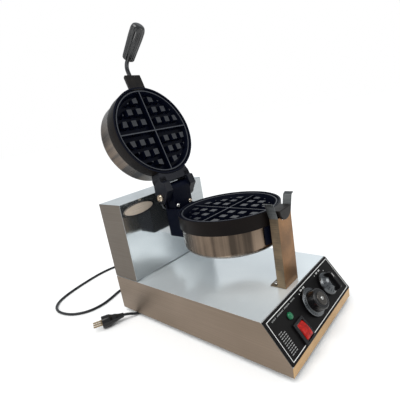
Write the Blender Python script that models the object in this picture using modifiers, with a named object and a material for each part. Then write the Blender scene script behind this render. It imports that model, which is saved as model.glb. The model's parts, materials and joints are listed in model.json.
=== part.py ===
"""Rotary round waffle maker: base, tower, turning plate head, hinged upper plate, controls and mains lead.

Metres, +Z up, the front faces -Y. Z is 0 under the feet, and X is 0 at the middle of the base.
A setback is a distance behind the front edge of the base.
"""

from math import atan2, cos, hypot, pi, radians, sin, sqrt

import bmesh
import bpy
from mathutils import Matrix, Vector

# Base and tower
BASE_WIDTH = 0.250
BASE_LENGTH = 0.426
FOOT_HEIGHT = 0.010
DECK_HEIGHT = 0.090
LIP_HEIGHT = 0.0277
PANEL_RUN = 0.0457
TOWER_DEPTH = 0.0767
TOWER_HEIGHT = 0.261
SHEET = 0.0012
GAP = 0.0003
FRONT = -0.2134

# Plates and their head
PLATE_SETBACK = 0.1723
PLATE_RADIUS = 0.0995
PARTING_HEIGHT = 0.233
CASTING_HEIGHT = 0.027
HOUSING_RADIUS = 0.0965
HOUSING_DEPTH = 0.073
HOUSING_FILLET = 0.013
RIDGE_RADIUS = 0.0915
STUD_PITCH = 0.0246
STUD_START = 0.0215
STUD_TOP = 0.0125
STUD_DEPTH = 0.014
STUD_LIMIT = 0.0785
RIB_HALF = 0.0018
LOWER_RECESS = 0.006
UPPER_RECESS = 0.0020

# Hinge of the upper plate
HINGE_SETBACK = 0.3134
HINGE_HEIGHT = 0.255
OPEN_ANGLE = radians(108.6)
BOLT_RADIUS = 0.005
EAR_INNER = 0.0268
EAR_OUTER = 0.0445

# Journal, post and spindle
JOURNAL_RADIUS = 0.0205
LOWER_JOURNAL_SETBACK = 0.0515
UPPER_JOURNAL_SETBACK = 0.044
POST_SETBACK = 0.055
POST_WIDTH = 0.0475
POST_DEPTH = 0.0163
POST_TOP = 0.220
POST_SHEET = 0.0015
SPINDLE_RADIUS = 0.011

# Handle: the grip hangs forward and down when the plates are shut
ROD_RADIUS = 0.0045
ROD_HEIGHT = PARTING_HEIGHT + 0.0096
GRIP_SETBACK = 0.0114
GRIP_HEIGHT = 0.2256
GRIP_SLOPE = radians(66.3)
GRIP_LENGTH = 0.075

# Controls, as (across, up the slope) places on the panel
PANEL_THICKNESS = 0.002
THERMOSTAT_PLACE = (-0.0015, 0.0393)
TIMER_PLACE = (0.067, 0.040)
SWITCH_PLACE = (-0.0605, 0.0217)
LAMP_PLACE = (-0.0675, 0.0528)
SWITCH_WINDOW = (0.0240, 0.0335)
CONTROL_HOLE = 0.0053
ROCKER_TILT = radians(8.0)

# Mains lead
CORD_RADIUS = 0.003
CORD_LIE = 0.0033
EXIT_X = 0.060
EXIT_HEIGHT = 0.045
RELIEF_LENGTH = 0.032
COIL_RADIUS = 0.033
COIL_WIDTH = 0.012
COIL_SETBACK = 0.560
PLUG_HEIGHT = 0.0133

WELD = 0.00001
ROUND = 48
SMALL_ROUND = 24

# Directions of a local Z axis, for turned pieces and slabs
UP = Matrix.Identity(4)
FORWARD = Matrix.Rotation(pi / 2, 4, "X")
BACKWARD = Matrix.Rotation(-pi / 2, 4, "X")
TO_RIGHT = Matrix.Rotation(pi / 2, 4, "Y")
SIDE_VIEW = Matrix(((0, 0, 1, 0), (1, 0, 0, 0), (0, 1, 0, 0), (0, 0, 0, 1)))


# ---------------------------------------------------------------- tools

def clear_scene():
    """Removes the scene's own objects."""
    for old in list(bpy.data.objects):
        bpy.data.objects.remove(old, do_unlink=True)


def new_collection(name):
    """Adds a collection to the scene."""
    group = bpy.data.collections.new(name)
    bpy.context.scene.collection.children.link(group)
    return group


def at(x, setback, z):
    """A place given by its distance behind the front edge of the base."""
    return Vector((x, FRONT + setback, z))


def move_to(place, direction=UP):
    """A frame at a place, with its Z axis along a direction."""
    return Matrix.Translation(place) @ direction


def paint(piece, colour, metallic=0.0, roughness=0.5):
    """Gives a piece a material of its own."""
    skin = bpy.data.materials.new(piece.name + "_material")
    skin.use_nodes = True
    shader = skin.node_tree.nodes["Principled BSDF"]
    shader.inputs["Base Color"].default_value = (*colour, 1.0)
    shader.inputs["Metallic"].default_value = metallic
    shader.inputs["Roughness"].default_value = roughness
    piece.data.materials.clear()
    piece.data.materials.append(skin)
    return piece


def add_object(name, data, frame):
    """Puts mesh or curve data into the part's collection."""
    piece = bpy.data.objects.new(name, data)
    piece.matrix_world = frame
    PARTS.objects.link(piece)
    return piece


def mesh_from(name, bm, frame):
    """An object from a finished bmesh."""
    bmesh.ops.recalc_face_normals(bm, faces=bm.faces)
    mesh = bpy.data.meshes.new(name)
    bm.to_mesh(mesh)
    bm.free()
    return add_object(name, mesh, frame)


def box(name, low, high, frame=UP):
    """A block between two corners of its frame."""
    bm = bmesh.new()
    middle = (Vector(low) + Vector(high)) / 2
    size = Vector(high) - Vector(low)
    place = Matrix.Translation(middle) @ Matrix.Diagonal((*size, 1.0))
    bmesh.ops.create_cube(bm, size=1.0, matrix=place)
    return mesh_from(name, bm, frame)


def rod(name, radius, start, end, frame, steps=SMALL_ROUND):
    """A round bar along the frame's Z axis."""
    bm = bmesh.new()
    middle = Matrix.Translation((0, 0, (start + end) / 2))
    bmesh.ops.create_cone(bm, cap_ends=True, segments=steps, radius1=radius, radius2=radius,
                          depth=end - start, matrix=middle)
    bar = mesh_from(name, bm, frame)
    smooth(bar)
    return bar


def smooth(piece):
    """Smooth shading that keeps the sharp edges."""
    for face in piece.data.polygons:
        face.use_smooth = True
    piece.data.set_sharp_from_angle(angle=radians(35))


def turned(name, profile, frame, steps=SMALL_ROUND, ring=False):
    """A piece turned about its frame's Z axis; the (radius, height) profile runs down the outside."""
    bm = bmesh.new()
    points = [bm.verts.new((radius, 0.0, height)) for radius, height in profile]
    for first, second in zip(points, points[1:]):
        bm.edges.new((first, second))
    if ring:
        bm.edges.new((points[-1], points[0]))
    mesh = bpy.data.meshes.new(name)
    bm.to_mesh(mesh)
    bm.free()
    piece = add_object(name, mesh, frame)
    screw = piece.modifiers.new("Screw", "SCREW")
    screw.steps = steps
    screw.render_steps = steps
    screw.use_merge_vertices = True
    screw.merge_threshold = WELD
    screw.use_smooth_shade = True
    return piece


def as_mesh(curve):
    """Turns a curve into a mesh with welded caps, so that it can be cut and joined."""
    bpy.context.view_layer.update()
    graph = bpy.context.evaluated_depsgraph_get()
    mesh = bpy.data.meshes.new_from_object(curve.evaluated_get(graph))
    bm = bmesh.new()
    bm.from_mesh(mesh)
    bmesh.ops.remove_doubles(bm, verts=bm.verts, dist=WELD)
    bmesh.ops.recalc_face_normals(bm, faces=bm.faces)
    bm.to_mesh(mesh)
    bm.free()
    name = curve.name
    frame = curve.matrix_world.copy()
    bpy.data.objects.remove(curve, do_unlink=True)
    return add_object(name, mesh, frame)


def slab(name, outlines, low, high, frame=UP):
    """A flat plate between two heights of its frame: the first outline, with the others as holes."""
    curve = bpy.data.curves.new(name, "CURVE")
    curve.dimensions = "2D"
    curve.fill_mode = "BOTH"
    curve.extrude = (high - low) / 2
    for outline in outlines:
        line = curve.splines.new("POLY")
        line.points.add(len(outline) - 1)
        for point, (u, v) in zip(line.points, outline):
            point.co = (u, v, 0.0, 1.0)
        line.use_cyclic_u = True
    return as_mesh(add_object(name, curve, frame @ Matrix.Translation((0, 0, (low + high) / 2))))


def tube(name, points, radius, sides=2):
    """A round wire through points, with filled caps."""
    curve = bpy.data.curves.new(name, "CURVE")
    curve.dimensions = "3D"
    curve.bevel_depth = radius
    curve.bevel_resolution = sides
    curve.use_fill_caps = True
    line = curve.splines.new("POLY")
    line.points.add(len(points) - 1)
    for point, place in zip(line.points, points):
        point.co = (*place, 1.0)
    return add_object(name, curve, UP)


def combine(piece, tool, operation):
    """A Boolean with a helper solid, which joins the cutters and moves with the piece."""
    step = piece.modifiers.new(operation.title(), "BOOLEAN")
    step.operation = operation
    step.solver = "EXACT"
    step.object = tool
    PARTS.objects.unlink(tool)
    CUTTERS.objects.link(tool)
    tool.hide_render = True
    tool.display_type = "WIRE"
    bpy.context.view_layer.update()
    tool.parent = piece
    tool.matrix_parent_inverse = piece.matrix_world.inverted()


def cut(piece, *tools):
    """Cuts helper solids away from a piece."""
    for tool in tools:
        combine(piece, tool, "DIFFERENCE")


def join(piece, *tools):
    """Fuses helper solids to a piece."""
    for tool in tools:
        combine(piece, tool, "UNION")


def arc(centre, radius, start, end, count):
    """Points on an arc, with its angles in degrees."""
    angles = [radians(start + (end - start) * step / count) for step in range(count + 1)]
    return [(centre[0] + radius * cos(a), centre[1] + radius * sin(a)) for a in angles]


def circle(centre, radius, count=SMALL_ROUND):
    """A closed round outline."""
    return arc(centre, radius, 0.0, 360.0 * (count - 1) / count, count - 1)


def rectangle(low, high):
    """A closed rectangular outline."""
    return [low, (high[0], low[1]), high, (low[0], high[1])]


def pivot(name, frame, parent=None):
    """An empty on a joint's axis."""
    empty = bpy.data.objects.new(name, None)
    empty.empty_display_size = 0.02
    PARTS.objects.link(empty)
    empty.matrix_world = frame
    if parent:
        empty.parent = parent
        empty.matrix_parent_inverse = parent.matrix_world.inverted()
    bpy.context.view_layer.update()
    return empty


def ride(empty, *pieces):
    """Hangs pieces on a joint's empty where they are."""
    for piece in pieces:
        piece.parent = empty
        piece.matrix_parent_inverse = empty.matrix_world.inverted()


# ---------------------------------------------------------------- colours

STEEL = ((0.62, 0.63, 0.63), 1.0, 0.28)
DARK_STEEL = ((0.25, 0.25, 0.26), 1.0, 0.40)
BRASS = ((0.70, 0.58, 0.38), 1.0, 0.30)
CAST = ((0.018, 0.020, 0.030), 0.3, 0.42)
BLACK = ((0.02, 0.02, 0.022), 0.0, 0.35)
RUBBER = ((0.03, 0.03, 0.03), 0.0, 0.75)
RED = ((0.60, 0.03, 0.03), 0.0, 0.20)
GREEN = ((0.03, 0.35, 0.12), 0.0, 0.15)
CREAM = ((0.75, 0.72, 0.62), 0.0, 0.50)


# ---------------------------------------------------------------- base

def panel_frame():
    """The sloped face's frame: X across, Y up the slope, Z out of the face."""
    slope = atan2(DECK_HEIGHT - LIP_HEIGHT, PANEL_RUN)
    return Matrix.Translation((0.0, FRONT, LIP_HEIGHT)) @ Matrix.Rotation(slope, 4, "X")


def control_frame(place):
    """The panel's frame, moved to one control."""
    return panel_frame() @ Matrix.Translation((*place, 0.0))


def base_outline(inset):
    """The base's side view; an inset follows the inner faces of the sheet and leaves the bottom open."""
    steep = (DECK_HEIGHT - LIP_HEIGHT) / PANEL_RUN
    drop = inset * sqrt(1.0 + steep * steep)
    bottom = FOOT_HEIGHT - 4 * inset
    lip = LIP_HEIGHT + steep * inset - drop
    deck = DECK_HEIGHT - inset
    run = (deck - LIP_HEIGHT + drop) / steep
    front = FRONT + inset
    rear = FRONT + BASE_LENGTH - inset
    return [(front, bottom), (rear, bottom), (rear, deck), (FRONT + run, deck), (front, lip)]


def make_base():
    """Folded base, its bottom tray and its feet."""
    half = BASE_WIDTH / 2
    shell = slab("base_shell", [base_outline(0.0)], -half, half, SIDE_VIEW)
    inner = half - SHEET
    cut(shell, slab("base_hollow", [base_outline(SHEET)], -inner, inner, SIDE_VIEW))
    x, y = SWITCH_WINDOW[0] / 2, SWITCH_WINDOW[1] / 2
    cut(shell, box("switch_hole", (-x, -y, -0.004), (x, y, 0.004), control_frame(SWITCH_PLACE)))
    for name, place in (("thermostat_hole", THERMOSTAT_PLACE), ("timer_hole", TIMER_PLACE),
                        ("lamp_hole", LAMP_PLACE)):
        cut(shell, rod(name, CONTROL_HOLE, -0.004, 0.004, control_frame(place)))
    low = at(-0.040, 0.370, DECK_HEIGHT - 0.005)
    high = at(0.040, 0.400, DECK_HEIGHT + 0.005)
    cut(shell, box("wire_opening", low, high))
    gland = move_to(at(EXIT_X, BASE_LENGTH, EXIT_HEIGHT), BACKWARD)
    cut(shell, rod("gland_hole", 0.0073, -0.01, 0.01, gland))
    paint(shell, *STEEL)

    side = half - SHEET - GAP
    front = SHEET + GAP
    rear = BASE_LENGTH - SHEET - GAP
    floor = FOOT_HEIGHT + GAP
    tray = box("bottom_tray", at(-side, front, floor), at(side, rear, floor + 0.012))
    inside = box("tray_hollow", at(-side + SHEET, front + SHEET, floor + SHEET),
                 at(side - SHEET, rear - SHEET, floor + 0.020))
    cut(tray, inside)
    for index in range(5):
        setback = 0.130 + 0.022 * index
        low = at(-0.050, setback, floor - 0.002)
        high = at(0.050, setback + 0.006, floor + 0.003)
        cut(tray, box(f"vent_cutter_{index + 1}", low, high))
    paint(tray, *STEEL)

    feet = [(x, setback) for setback in (0.040, 0.404) for x in (-0.095, 0.095)]
    for index, (x, setback) in enumerate(feet):
        profile = [(0.0, FOOT_HEIGHT), (0.0125, FOOT_HEIGHT), (0.0110, 0.001), (0.0100, 0.0), (0.0, 0.0)]
        foot = turned(f"foot_{index + 1}", profile, move_to(at(x, setback, 0.0)))
        paint(foot, *RUBBER)


def make_tower():
    """Rear tower, its back cover with screws, and the blank badge."""
    half = BASE_WIDTH / 2
    front = BASE_LENGTH - TOWER_DEPTH
    bottom = DECK_HEIGHT + GAP
    shell = box("tower_shell", at(-half, front, bottom), at(half, BASE_LENGTH, TOWER_HEIGHT))
    cut(shell, box("tower_hollow", at(-half + SHEET, front + SHEET, bottom - 0.01),
                   at(half - SHEET, BASE_LENGTH + 0.01, TOWER_HEIGHT - SHEET)))
    cut(shell, rod("sleeve_hole", 0.0193, -0.01, 0.01, move_to(at(0.0, front, PARTING_HEIGHT), FORWARD), 32))
    paint(shell, *STEEL)

    rear = BASE_LENGTH + GAP
    slots = []
    for row in range(5):
        height = 0.130 + 0.018 * row
        for x in (-0.060, 0.010):
            slots.append(rectangle((x, height), (x + 0.050, height + 0.006)))
    screws = [(x, 0.175) for x in (-0.112, 0.112)]
    holes = [circle(place, 0.0023, 12) for place in screws]
    edge = rectangle((-half + 0.001, bottom + 0.001), (half - 0.001, TOWER_HEIGHT - 0.001))
    cover = slab("tower_back_cover", [edge, *slots, *holes], -rear - SHEET - FRONT, -rear - FRONT, FORWARD)
    paint(cover, *STEEL)
    for index, (x, height) in enumerate(screws):
        profile = [(0.0, 0.0022), (0.0028, 0.0016), (0.0036, 0.0), (0.0019, 0.0), (0.0019, -0.009),
                   (0.0, -0.009)]
        place = at(x, BASE_LENGTH + SHEET + 2 * GAP, height)
        screw = turned(f"cover_screw_{index + 1}", profile, move_to(place, BACKWARD), 12)
        paint(screw, *STEEL)

    outline = [(0.039 * cos(a), 0.0120 * sin(a)) for a in [2 * pi * step / 40 for step in range(40)]]
    badge = slab("badge_plate", [outline], GAP, 0.0014, move_to(at(-0.080, front, 0.2415), FORWARD))
    paint(badge, *BRASS)


def make_bearing():
    """Bearing frame and sleeve that carry the spindle inside the tower."""
    front = BASE_LENGTH - TOWER_DEPTH + SHEET + GAP
    rear = BASE_LENGTH - 0.018
    bottom = DECK_HEIGHT + 2 * GAP
    top = PARTING_HEIGHT + 0.023
    frame = box("bearing_frame", at(-0.030, front, bottom), at(0.030, rear, top))
    cut(frame, box("frame_hollow", at(-0.040, front + 0.003, bottom + 0.003),
                   at(0.040, rear - 0.003, top + 0.010)))
    cut(frame, rod("frame_bore", 0.0173, -rear - FRONT - 0.01, -front - FRONT + 0.01,
                   move_to((0.0, 0.0, PARTING_HEIGHT), FORWARD), 32))
    paint(frame, *DARK_STEEL)
    bore = SPINDLE_RADIUS + GAP
    length = rear - front + 0.004
    profile = [(bore, 0.0), (0.017, 0.0), (0.017, -length), (bore, -length)]
    place = at(0.0, front - 0.004, PARTING_HEIGHT)
    sleeve = turned("bearing_sleeve", profile, move_to(place, FORWARD), 32, ring=True)
    paint(sleeve, *BRASS)


def make_post():
    """Front post: a folded channel with a round saddle, flared guide wings and a foot plate."""
    half = POST_WIDTH / 2
    bottom = DECK_HEIGHT + GAP
    saddle = JOURNAL_RADIUS + GAP
    reach = PARTING_HEIGHT - POST_TOP
    open_angle = atan2(-reach, sqrt(saddle * saddle - reach * reach))
    turn = open_angle * 180 / pi
    notch = arc((0.0, PARTING_HEIGHT), saddle, turn, -180.0 - turn, 16)
    web = [(-half, bottom), (half, bottom), (half, POST_TOP), *notch, (-half, POST_TOP)]
    face = -POST_SETBACK - FRONT
    post = slab("front_post", [web], face - POST_SHEET, face, FORWARD)
    middle = half - POST_SHEET / 2
    fold = [(middle, bottom), (middle, POST_TOP - 0.002), (0.0330, 0.2475), (0.0400, 0.2500)]
    deep = face - POST_DEPTH
    for side in (-1, 1):
        flange = slab(f"post_flange_{side}", [sheet_outline(fold, POST_SHEET, side)],
                      deep, face - POST_SHEET / 2, FORWARD)
        join(post, flange)
    foot = box("post_foot", at(-half, POST_SETBACK, bottom),
               at(half, POST_SETBACK + 0.031, bottom + POST_SHEET))
    screw_places = [(x, POST_SETBACK + 0.0235) for x in (-0.014, 0.014)]
    join(post, foot)
    for index, (x, setback) in enumerate(screw_places):
        hole = rod(f"post_hole_{index + 1}", 0.0024, -0.01, 0.01, move_to(at(x, setback, bottom)), 12)
        cut(post, hole)
        top = bottom + POST_SHEET + GAP
        profile = [(0.0, 0.0026), (0.0030, 0.0020), (0.0042, 0.0), (0.0020, 0.0),
                   (0.0020, -POST_SHEET), (0.0, -POST_SHEET)]
        screw = turned(f"post_screw_{index + 1}", profile, move_to(at(x, setback, top)), 12)
        paint(screw, *STEEL)
    paint(post, *STEEL)


def sheet_outline(line, thickness, side):
    """The outline of a folded sheet along a line of (across, height) points, mirrored by its side."""
    left = []
    right = []
    for index, (u, v) in enumerate(line):
        before = line[max(index - 1, 0)]
        after = line[min(index + 1, len(line) - 1)]
        first = Vector((u - before[0], v - before[1]))
        second = Vector((after[0] - u, after[1] - v))
        first = first.normalized() if first.length else second.normalized()
        second = second.normalized() if second.length else first
        mean = (first + second).normalized()
        reach = thickness / 2 / max(mean.dot(first), 0.5)
        left.append((side * (u - mean.y * reach), v + mean.x * reach))
        right.append((side * (u + mean.y * reach), v - mean.x * reach))
    return left + right[::-1]


# ---------------------------------------------------------------- controls

def make_panel():
    """Control panel with its cut-outs."""
    length = hypot(PANEL_RUN, DECK_HEIGHT - LIP_HEIGHT)
    edge = rectangle((-BASE_WIDTH / 2 + 0.0015, 0.0015), (BASE_WIDTH / 2 - 0.0015, length - 0.0015))
    x, y = SWITCH_PLACE
    wide, tall = SWITCH_WINDOW[0] / 2, SWITCH_WINDOW[1] / 2
    window = rectangle((x - wide, y - tall), (x + wide, y + tall))
    holes = [circle(place, CONTROL_HOLE) for place in (THERMOSTAT_PLACE, TIMER_PLACE, LAMP_PLACE)]
    panel = slab("control_panel", [edge, window, *holes], GAP, GAP + PANEL_THICKNESS, panel_frame())
    paint(panel, *BLACK)


def make_switch(face):
    """Rocker switch: housing with its bezel, and the rocker on its own pivot."""
    frame = control_frame(SWITCH_PLACE)
    housing = box("switch_housing", (-0.0165, -0.0190, face), (0.0145, 0.0190, face + 0.0042), frame)
    join(housing, box("switch_barrel", (-0.0115, -0.0162, -0.020), (0.0115, 0.0162, face + 0.001), frame))
    cut(housing, box("switch_pocket", (-0.0101, -0.0148, -0.006), (0.0101, 0.0148, face + 0.010), frame))
    paint(housing, *BLACK)
    half = 0.0130
    crown = arc((0.0, -0.0266), 0.0346, 68.0, 112.0, 8)
    outline = [(-half, -0.0020), (0.0, -0.0045), (half, -0.0020), *crown]
    hub = pivot("rocker_pivot", frame @ Matrix.Translation((0, 0, 0.001)))
    tilted = hub.matrix_world @ Matrix.Rotation(-ROCKER_TILT, 4, "X") @ SIDE_VIEW
    rocker = slab("switch_rocker", [outline], -0.0097, 0.0097, tilted)
    paint(rocker, *RED)
    ride(hub, rocker)


def make_lamp(face):
    """Green pilot lamp: body with a bezel, and its lens."""
    frame = control_frame(LAMP_PLACE)
    seat = face + 0.0008
    profile = [(0.0, seat), (0.0064, seat), (0.0066, face), (0.0049, face), (0.0049, -0.018), (0.0, -0.018)]
    paint(turned("pilot_lamp_body", profile, frame), *DARK_STEEL)
    base = seat + GAP
    turns = [radians(angle) for angle in (90, 72, 54, 36, 18, 0)]
    dome = [(0.0060 * cos(turn), base + 0.0004 + 0.0040 * sin(turn)) for turn in turns]
    dome[0] = (0.0, dome[0][1])
    lens = turned("pilot_lamp_lens", [*dome, (0.0060, base), (0.0, base)], frame)
    paint(lens, *GREEN)


def make_control(name, place, face, knob_profile, body_radius):
    """A dial control: body with a bored bush, and a shaft and knob on a pivot."""
    frame = control_frame(place)
    bush = 0.0050
    bore = 0.0033
    under = -SHEET - GAP
    top = face + 0.0026
    body = turned(f"{name}_body", [(bore, top), (bush, top), (bush, under), (body_radius, under),
                                   (body_radius, under - 0.022), (bore, under - 0.022)], frame, ring=True)
    paint(body, *CREAM)
    hub = pivot(f"{name}_pivot", frame)
    shaft = rod(f"{name}_shaft", bore - GAP, under - 0.020, face + 0.0190, frame, 16)
    paint(shaft, *STEEL)
    knob = turned(f"{name}_knob", knob_profile, frame, 32)
    paint(knob, *BLACK)
    ride(hub, shaft, knob)
    return hub, knob


def make_controls():
    """Everything on the control panel."""
    face = GAP + PANEL_THICKNESS + GAP
    make_panel()
    make_switch(face)
    make_lamp(face)
    under = face + 0.0030
    roof = face + 0.0193
    bore = 0.0033
    thermostat = [(0.0, face + 0.0235), (0.0165, face + 0.0235), (0.0178, face + 0.0222),
                  (0.0190, under + 0.0035), (0.0250, under + 0.0022), (0.0253, under), (bore, under),
                  (bore, roof), (0.0, roof)]
    hub = make_control("thermostat", THERMOSTAT_PLACE, face, thermostat, 0.019)[0]
    cap = turned("thermostat_cap", [(0.0, face + 0.0250), (0.0106, face + 0.0250), (0.0116, face + 0.0238),
                                    (0.0, face + 0.0238)], control_frame(THERMOSTAT_PLACE), 32)
    paint(cap, *STEEL)
    ride(hub, cap)
    timer = [(0.0, face + 0.0215), (0.0115, face + 0.0215), (0.0132, face + 0.0130), (0.0195, face + 0.0095),
             (0.0218, under + 0.0015), (0.0218, under), (0.0, under)]
    knob = make_control("timer", TIMER_PLACE, face, timer, 0.019)[1]
    bar = box("timer_bar", (-0.0034, -0.0180, face + 0.0095), (0.0034, 0.0180, face + 0.0245),
              control_frame(TIMER_PLACE))
    join(knob, bar)
    cut(knob, rod("timer_bore", bore, 0.0, roof, control_frame(TIMER_PLACE)))


def make_terminal_block():
    """Terminal block on the bottom tray, where the mains lead is wired."""
    floor = FOOT_HEIGHT + 2 * GAP + SHEET
    block = box("terminal_block", at(0.010, 0.300, floor), at(0.062, 0.322, floor + 0.018))
    paint(block, *CREAM)


# ---------------------------------------------------------------- plates

def stud_places():
    """Middles of the raised studs: three steps of a staircase in each quarter."""
    places = []
    for across in range(4):
        for along in range(4 - across):
            u = STUD_START + STUD_PITCH * across
            v = STUD_START + STUD_PITCH * along
            if hypot(u, v) < RIDGE_RADIUS - 0.004:
                places += [(su * u, sv * v) for su in (-1, 1) for sv in (-1, 1)]
    return places


def make_casting(name, recess, frame):
    """A plate casting with its waffle grid facing up its frame, and its face at height 0."""
    floor = -recess - STUD_DEPTH
    ridge = RIDGE_RADIUS
    profile = [(0.0, floor), (ridge - 0.0030, floor), (ridge - 0.0012, -0.0014), (ridge + 0.0012, -0.0014),
               (ridge + 0.0018, -0.0045), (ridge + 0.0040, -0.0045), (ridge + 0.0046, 0.0),
               (PLATE_RADIUS - 0.0012, 0.0), (PLATE_RADIUS, -0.0012), (PLATE_RADIUS, -CASTING_HEIGHT),
               (0.0, -CASTING_HEIGHT)]
    casting = turned(name, profile, frame, ROUND)
    bm = bmesh.new()
    for u, v in stud_places():
        place = Matrix.Translation((u, v, floor - 0.001 + (STUD_DEPTH + 0.001) / 2))
        place = place @ Matrix.Rotation(pi / 4, 4, "Z")
        bmesh.ops.create_cone(bm, cap_ends=True, segments=4, radius1=(STUD_TOP + 0.004) / sqrt(2),
                              radius2=STUD_TOP / sqrt(2), depth=STUD_DEPTH + 0.001, matrix=place)
    studs = mesh_from(f"{name}_studs", bm, frame)
    reach = ridge - 0.0004
    half = RIB_HALF
    low = floor - 0.001
    high = -recess
    ribs = box(f"{name}_rib_a", (-reach, -half, low), (reach, half, high), frame)
    join(ribs, box(f"{name}_rib_b", (-half, -reach, low), (half, reach, high), frame))
    limit = rod(f"{name}_limit", STUD_LIMIT, low - 0.01, high + 0.01, frame, ROUND)
    combine(studs, limit, "INTERSECT")
    join(casting, studs, ribs)
    paint(casting, *CAST)
    return casting


def make_housing(name, frame):
    """The spun steel housing behind a casting, open towards it, with a hole for its stud."""
    top = -CASTING_HEIGHT - GAP
    fillet = (HOUSING_RADIUS - HOUSING_FILLET, -HOUSING_DEPTH + HOUSING_FILLET)
    outer = arc(fillet, HOUSING_FILLET, 0.0, -90.0, 4)
    inner = arc(fillet, HOUSING_FILLET - SHEET, -90.0, 0.0, 4)
    hole = 0.0044
    profile = [(HOUSING_RADIUS - SHEET, top), (HOUSING_RADIUS, top), *outer, (hole, -HOUSING_DEPTH),
               (hole, -HOUSING_DEPTH + SHEET), *inner]
    housing = turned(name, profile, frame, ROUND, ring=True)
    return paint(housing, *STEEL)


def make_heater(name, frame):
    """A tubular heating ring pressed to the back of a casting."""
    middle = 0.060
    thick = 0.004
    height = -CASTING_HEIGHT - GAP - thick
    profile = arc((middle, height), thick, 90.0, -225.0, 7)
    heater = turned(name, profile, frame, 32, ring=True)
    return paint(heater, *DARK_STEEL)


def make_clamp(name, frame):
    """The domed bolt that clamps a housing to its casting."""
    seat = -HOUSING_DEPTH - GAP
    profile = [(0.0, -CASTING_HEIGHT - GAP), (0.0040, -CASTING_HEIGHT - GAP), (0.0040, seat), (0.0085, seat),
               (0.0085, seat - 0.0030), (0.0050, seat - 0.0060), (0.0, seat - 0.0070)]
    bolt = turned(f"{name}_clamp_bolt", profile, frame, 16)
    return paint(bolt, *STEEL)


def plate_cylinder(name, radius=PLATE_RADIUS + GAP):
    """A tall cutter around the plates, for pieces that fit against a casting."""
    return rod(name, radius, 0.0, 0.5, move_to(at(0.0, PLATE_SETBACK, 0.0)), ROUND)


def half_journal(name, side, start, front):
    """Half of the round journal in front of the plates; side is 1 above and -1 below the parting."""
    sweep = arc((0.0, PARTING_HEIGHT), JOURNAL_RADIUS, 0.0, 180.0 * side, 16)
    lift = side * start
    outline = [(u, max(v, PARTING_HEIGHT + lift) if side > 0 else min(v, PARTING_HEIGHT + lift))
               for u, v in sweep]
    rear = PLATE_SETBACK - sqrt(PLATE_RADIUS ** 2 - JOURNAL_RADIUS ** 2) + 0.002
    return slab(name, [outline], -rear - FRONT, -front - FRONT, FORWARD)


# ---------------------------------------------------------------- turning head

def make_lower_plate():
    """Lower casting, housing, heater, clamp, front strap and lower half of the journal."""
    frame = move_to(at(0.0, PLATE_SETBACK, PARTING_HEIGHT))
    casting = make_casting("lower_casting", LOWER_RECESS, frame)
    lug = box("casting_lug", (-0.0475, 0.080, -0.008), (-0.0395, 0.0955, -0.0012), frame)
    join(casting, lug)
    housing = make_housing("lower_housing", frame)
    heater = make_heater("lower_heater", frame)
    journal = half_journal("lower_journal", -1, GAP, LOWER_JOURNAL_SETBACK)
    cut(journal, plate_cylinder("lower_journal_fit"))
    paint(journal, *CAST)

    top = PARTING_HEIGHT - CASTING_HEIGHT - 2 * GAP
    bottom = PARTING_HEIGHT - HOUSING_DEPTH + HOUSING_FILLET
    strap = box("front_strap", at(-0.031, 0.060, bottom), at(0.031, 0.090, top))
    ring = rod("strap_outside", PLATE_RADIUS - 0.0004, 0.0, 0.5, move_to(at(0.0, PLATE_SETBACK, 0.0)), 96)
    combine(strap, ring, "INTERSECT")
    cut(strap, rod("strap_inside", HOUSING_RADIUS + GAP, 0.0, 0.5,
                   move_to(at(0.0, PLATE_SETBACK, 0.0)), ROUND))
    paint(strap, *CAST)
    return [casting, housing, heater, journal, strap, make_clamp("lower", frame)]


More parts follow.
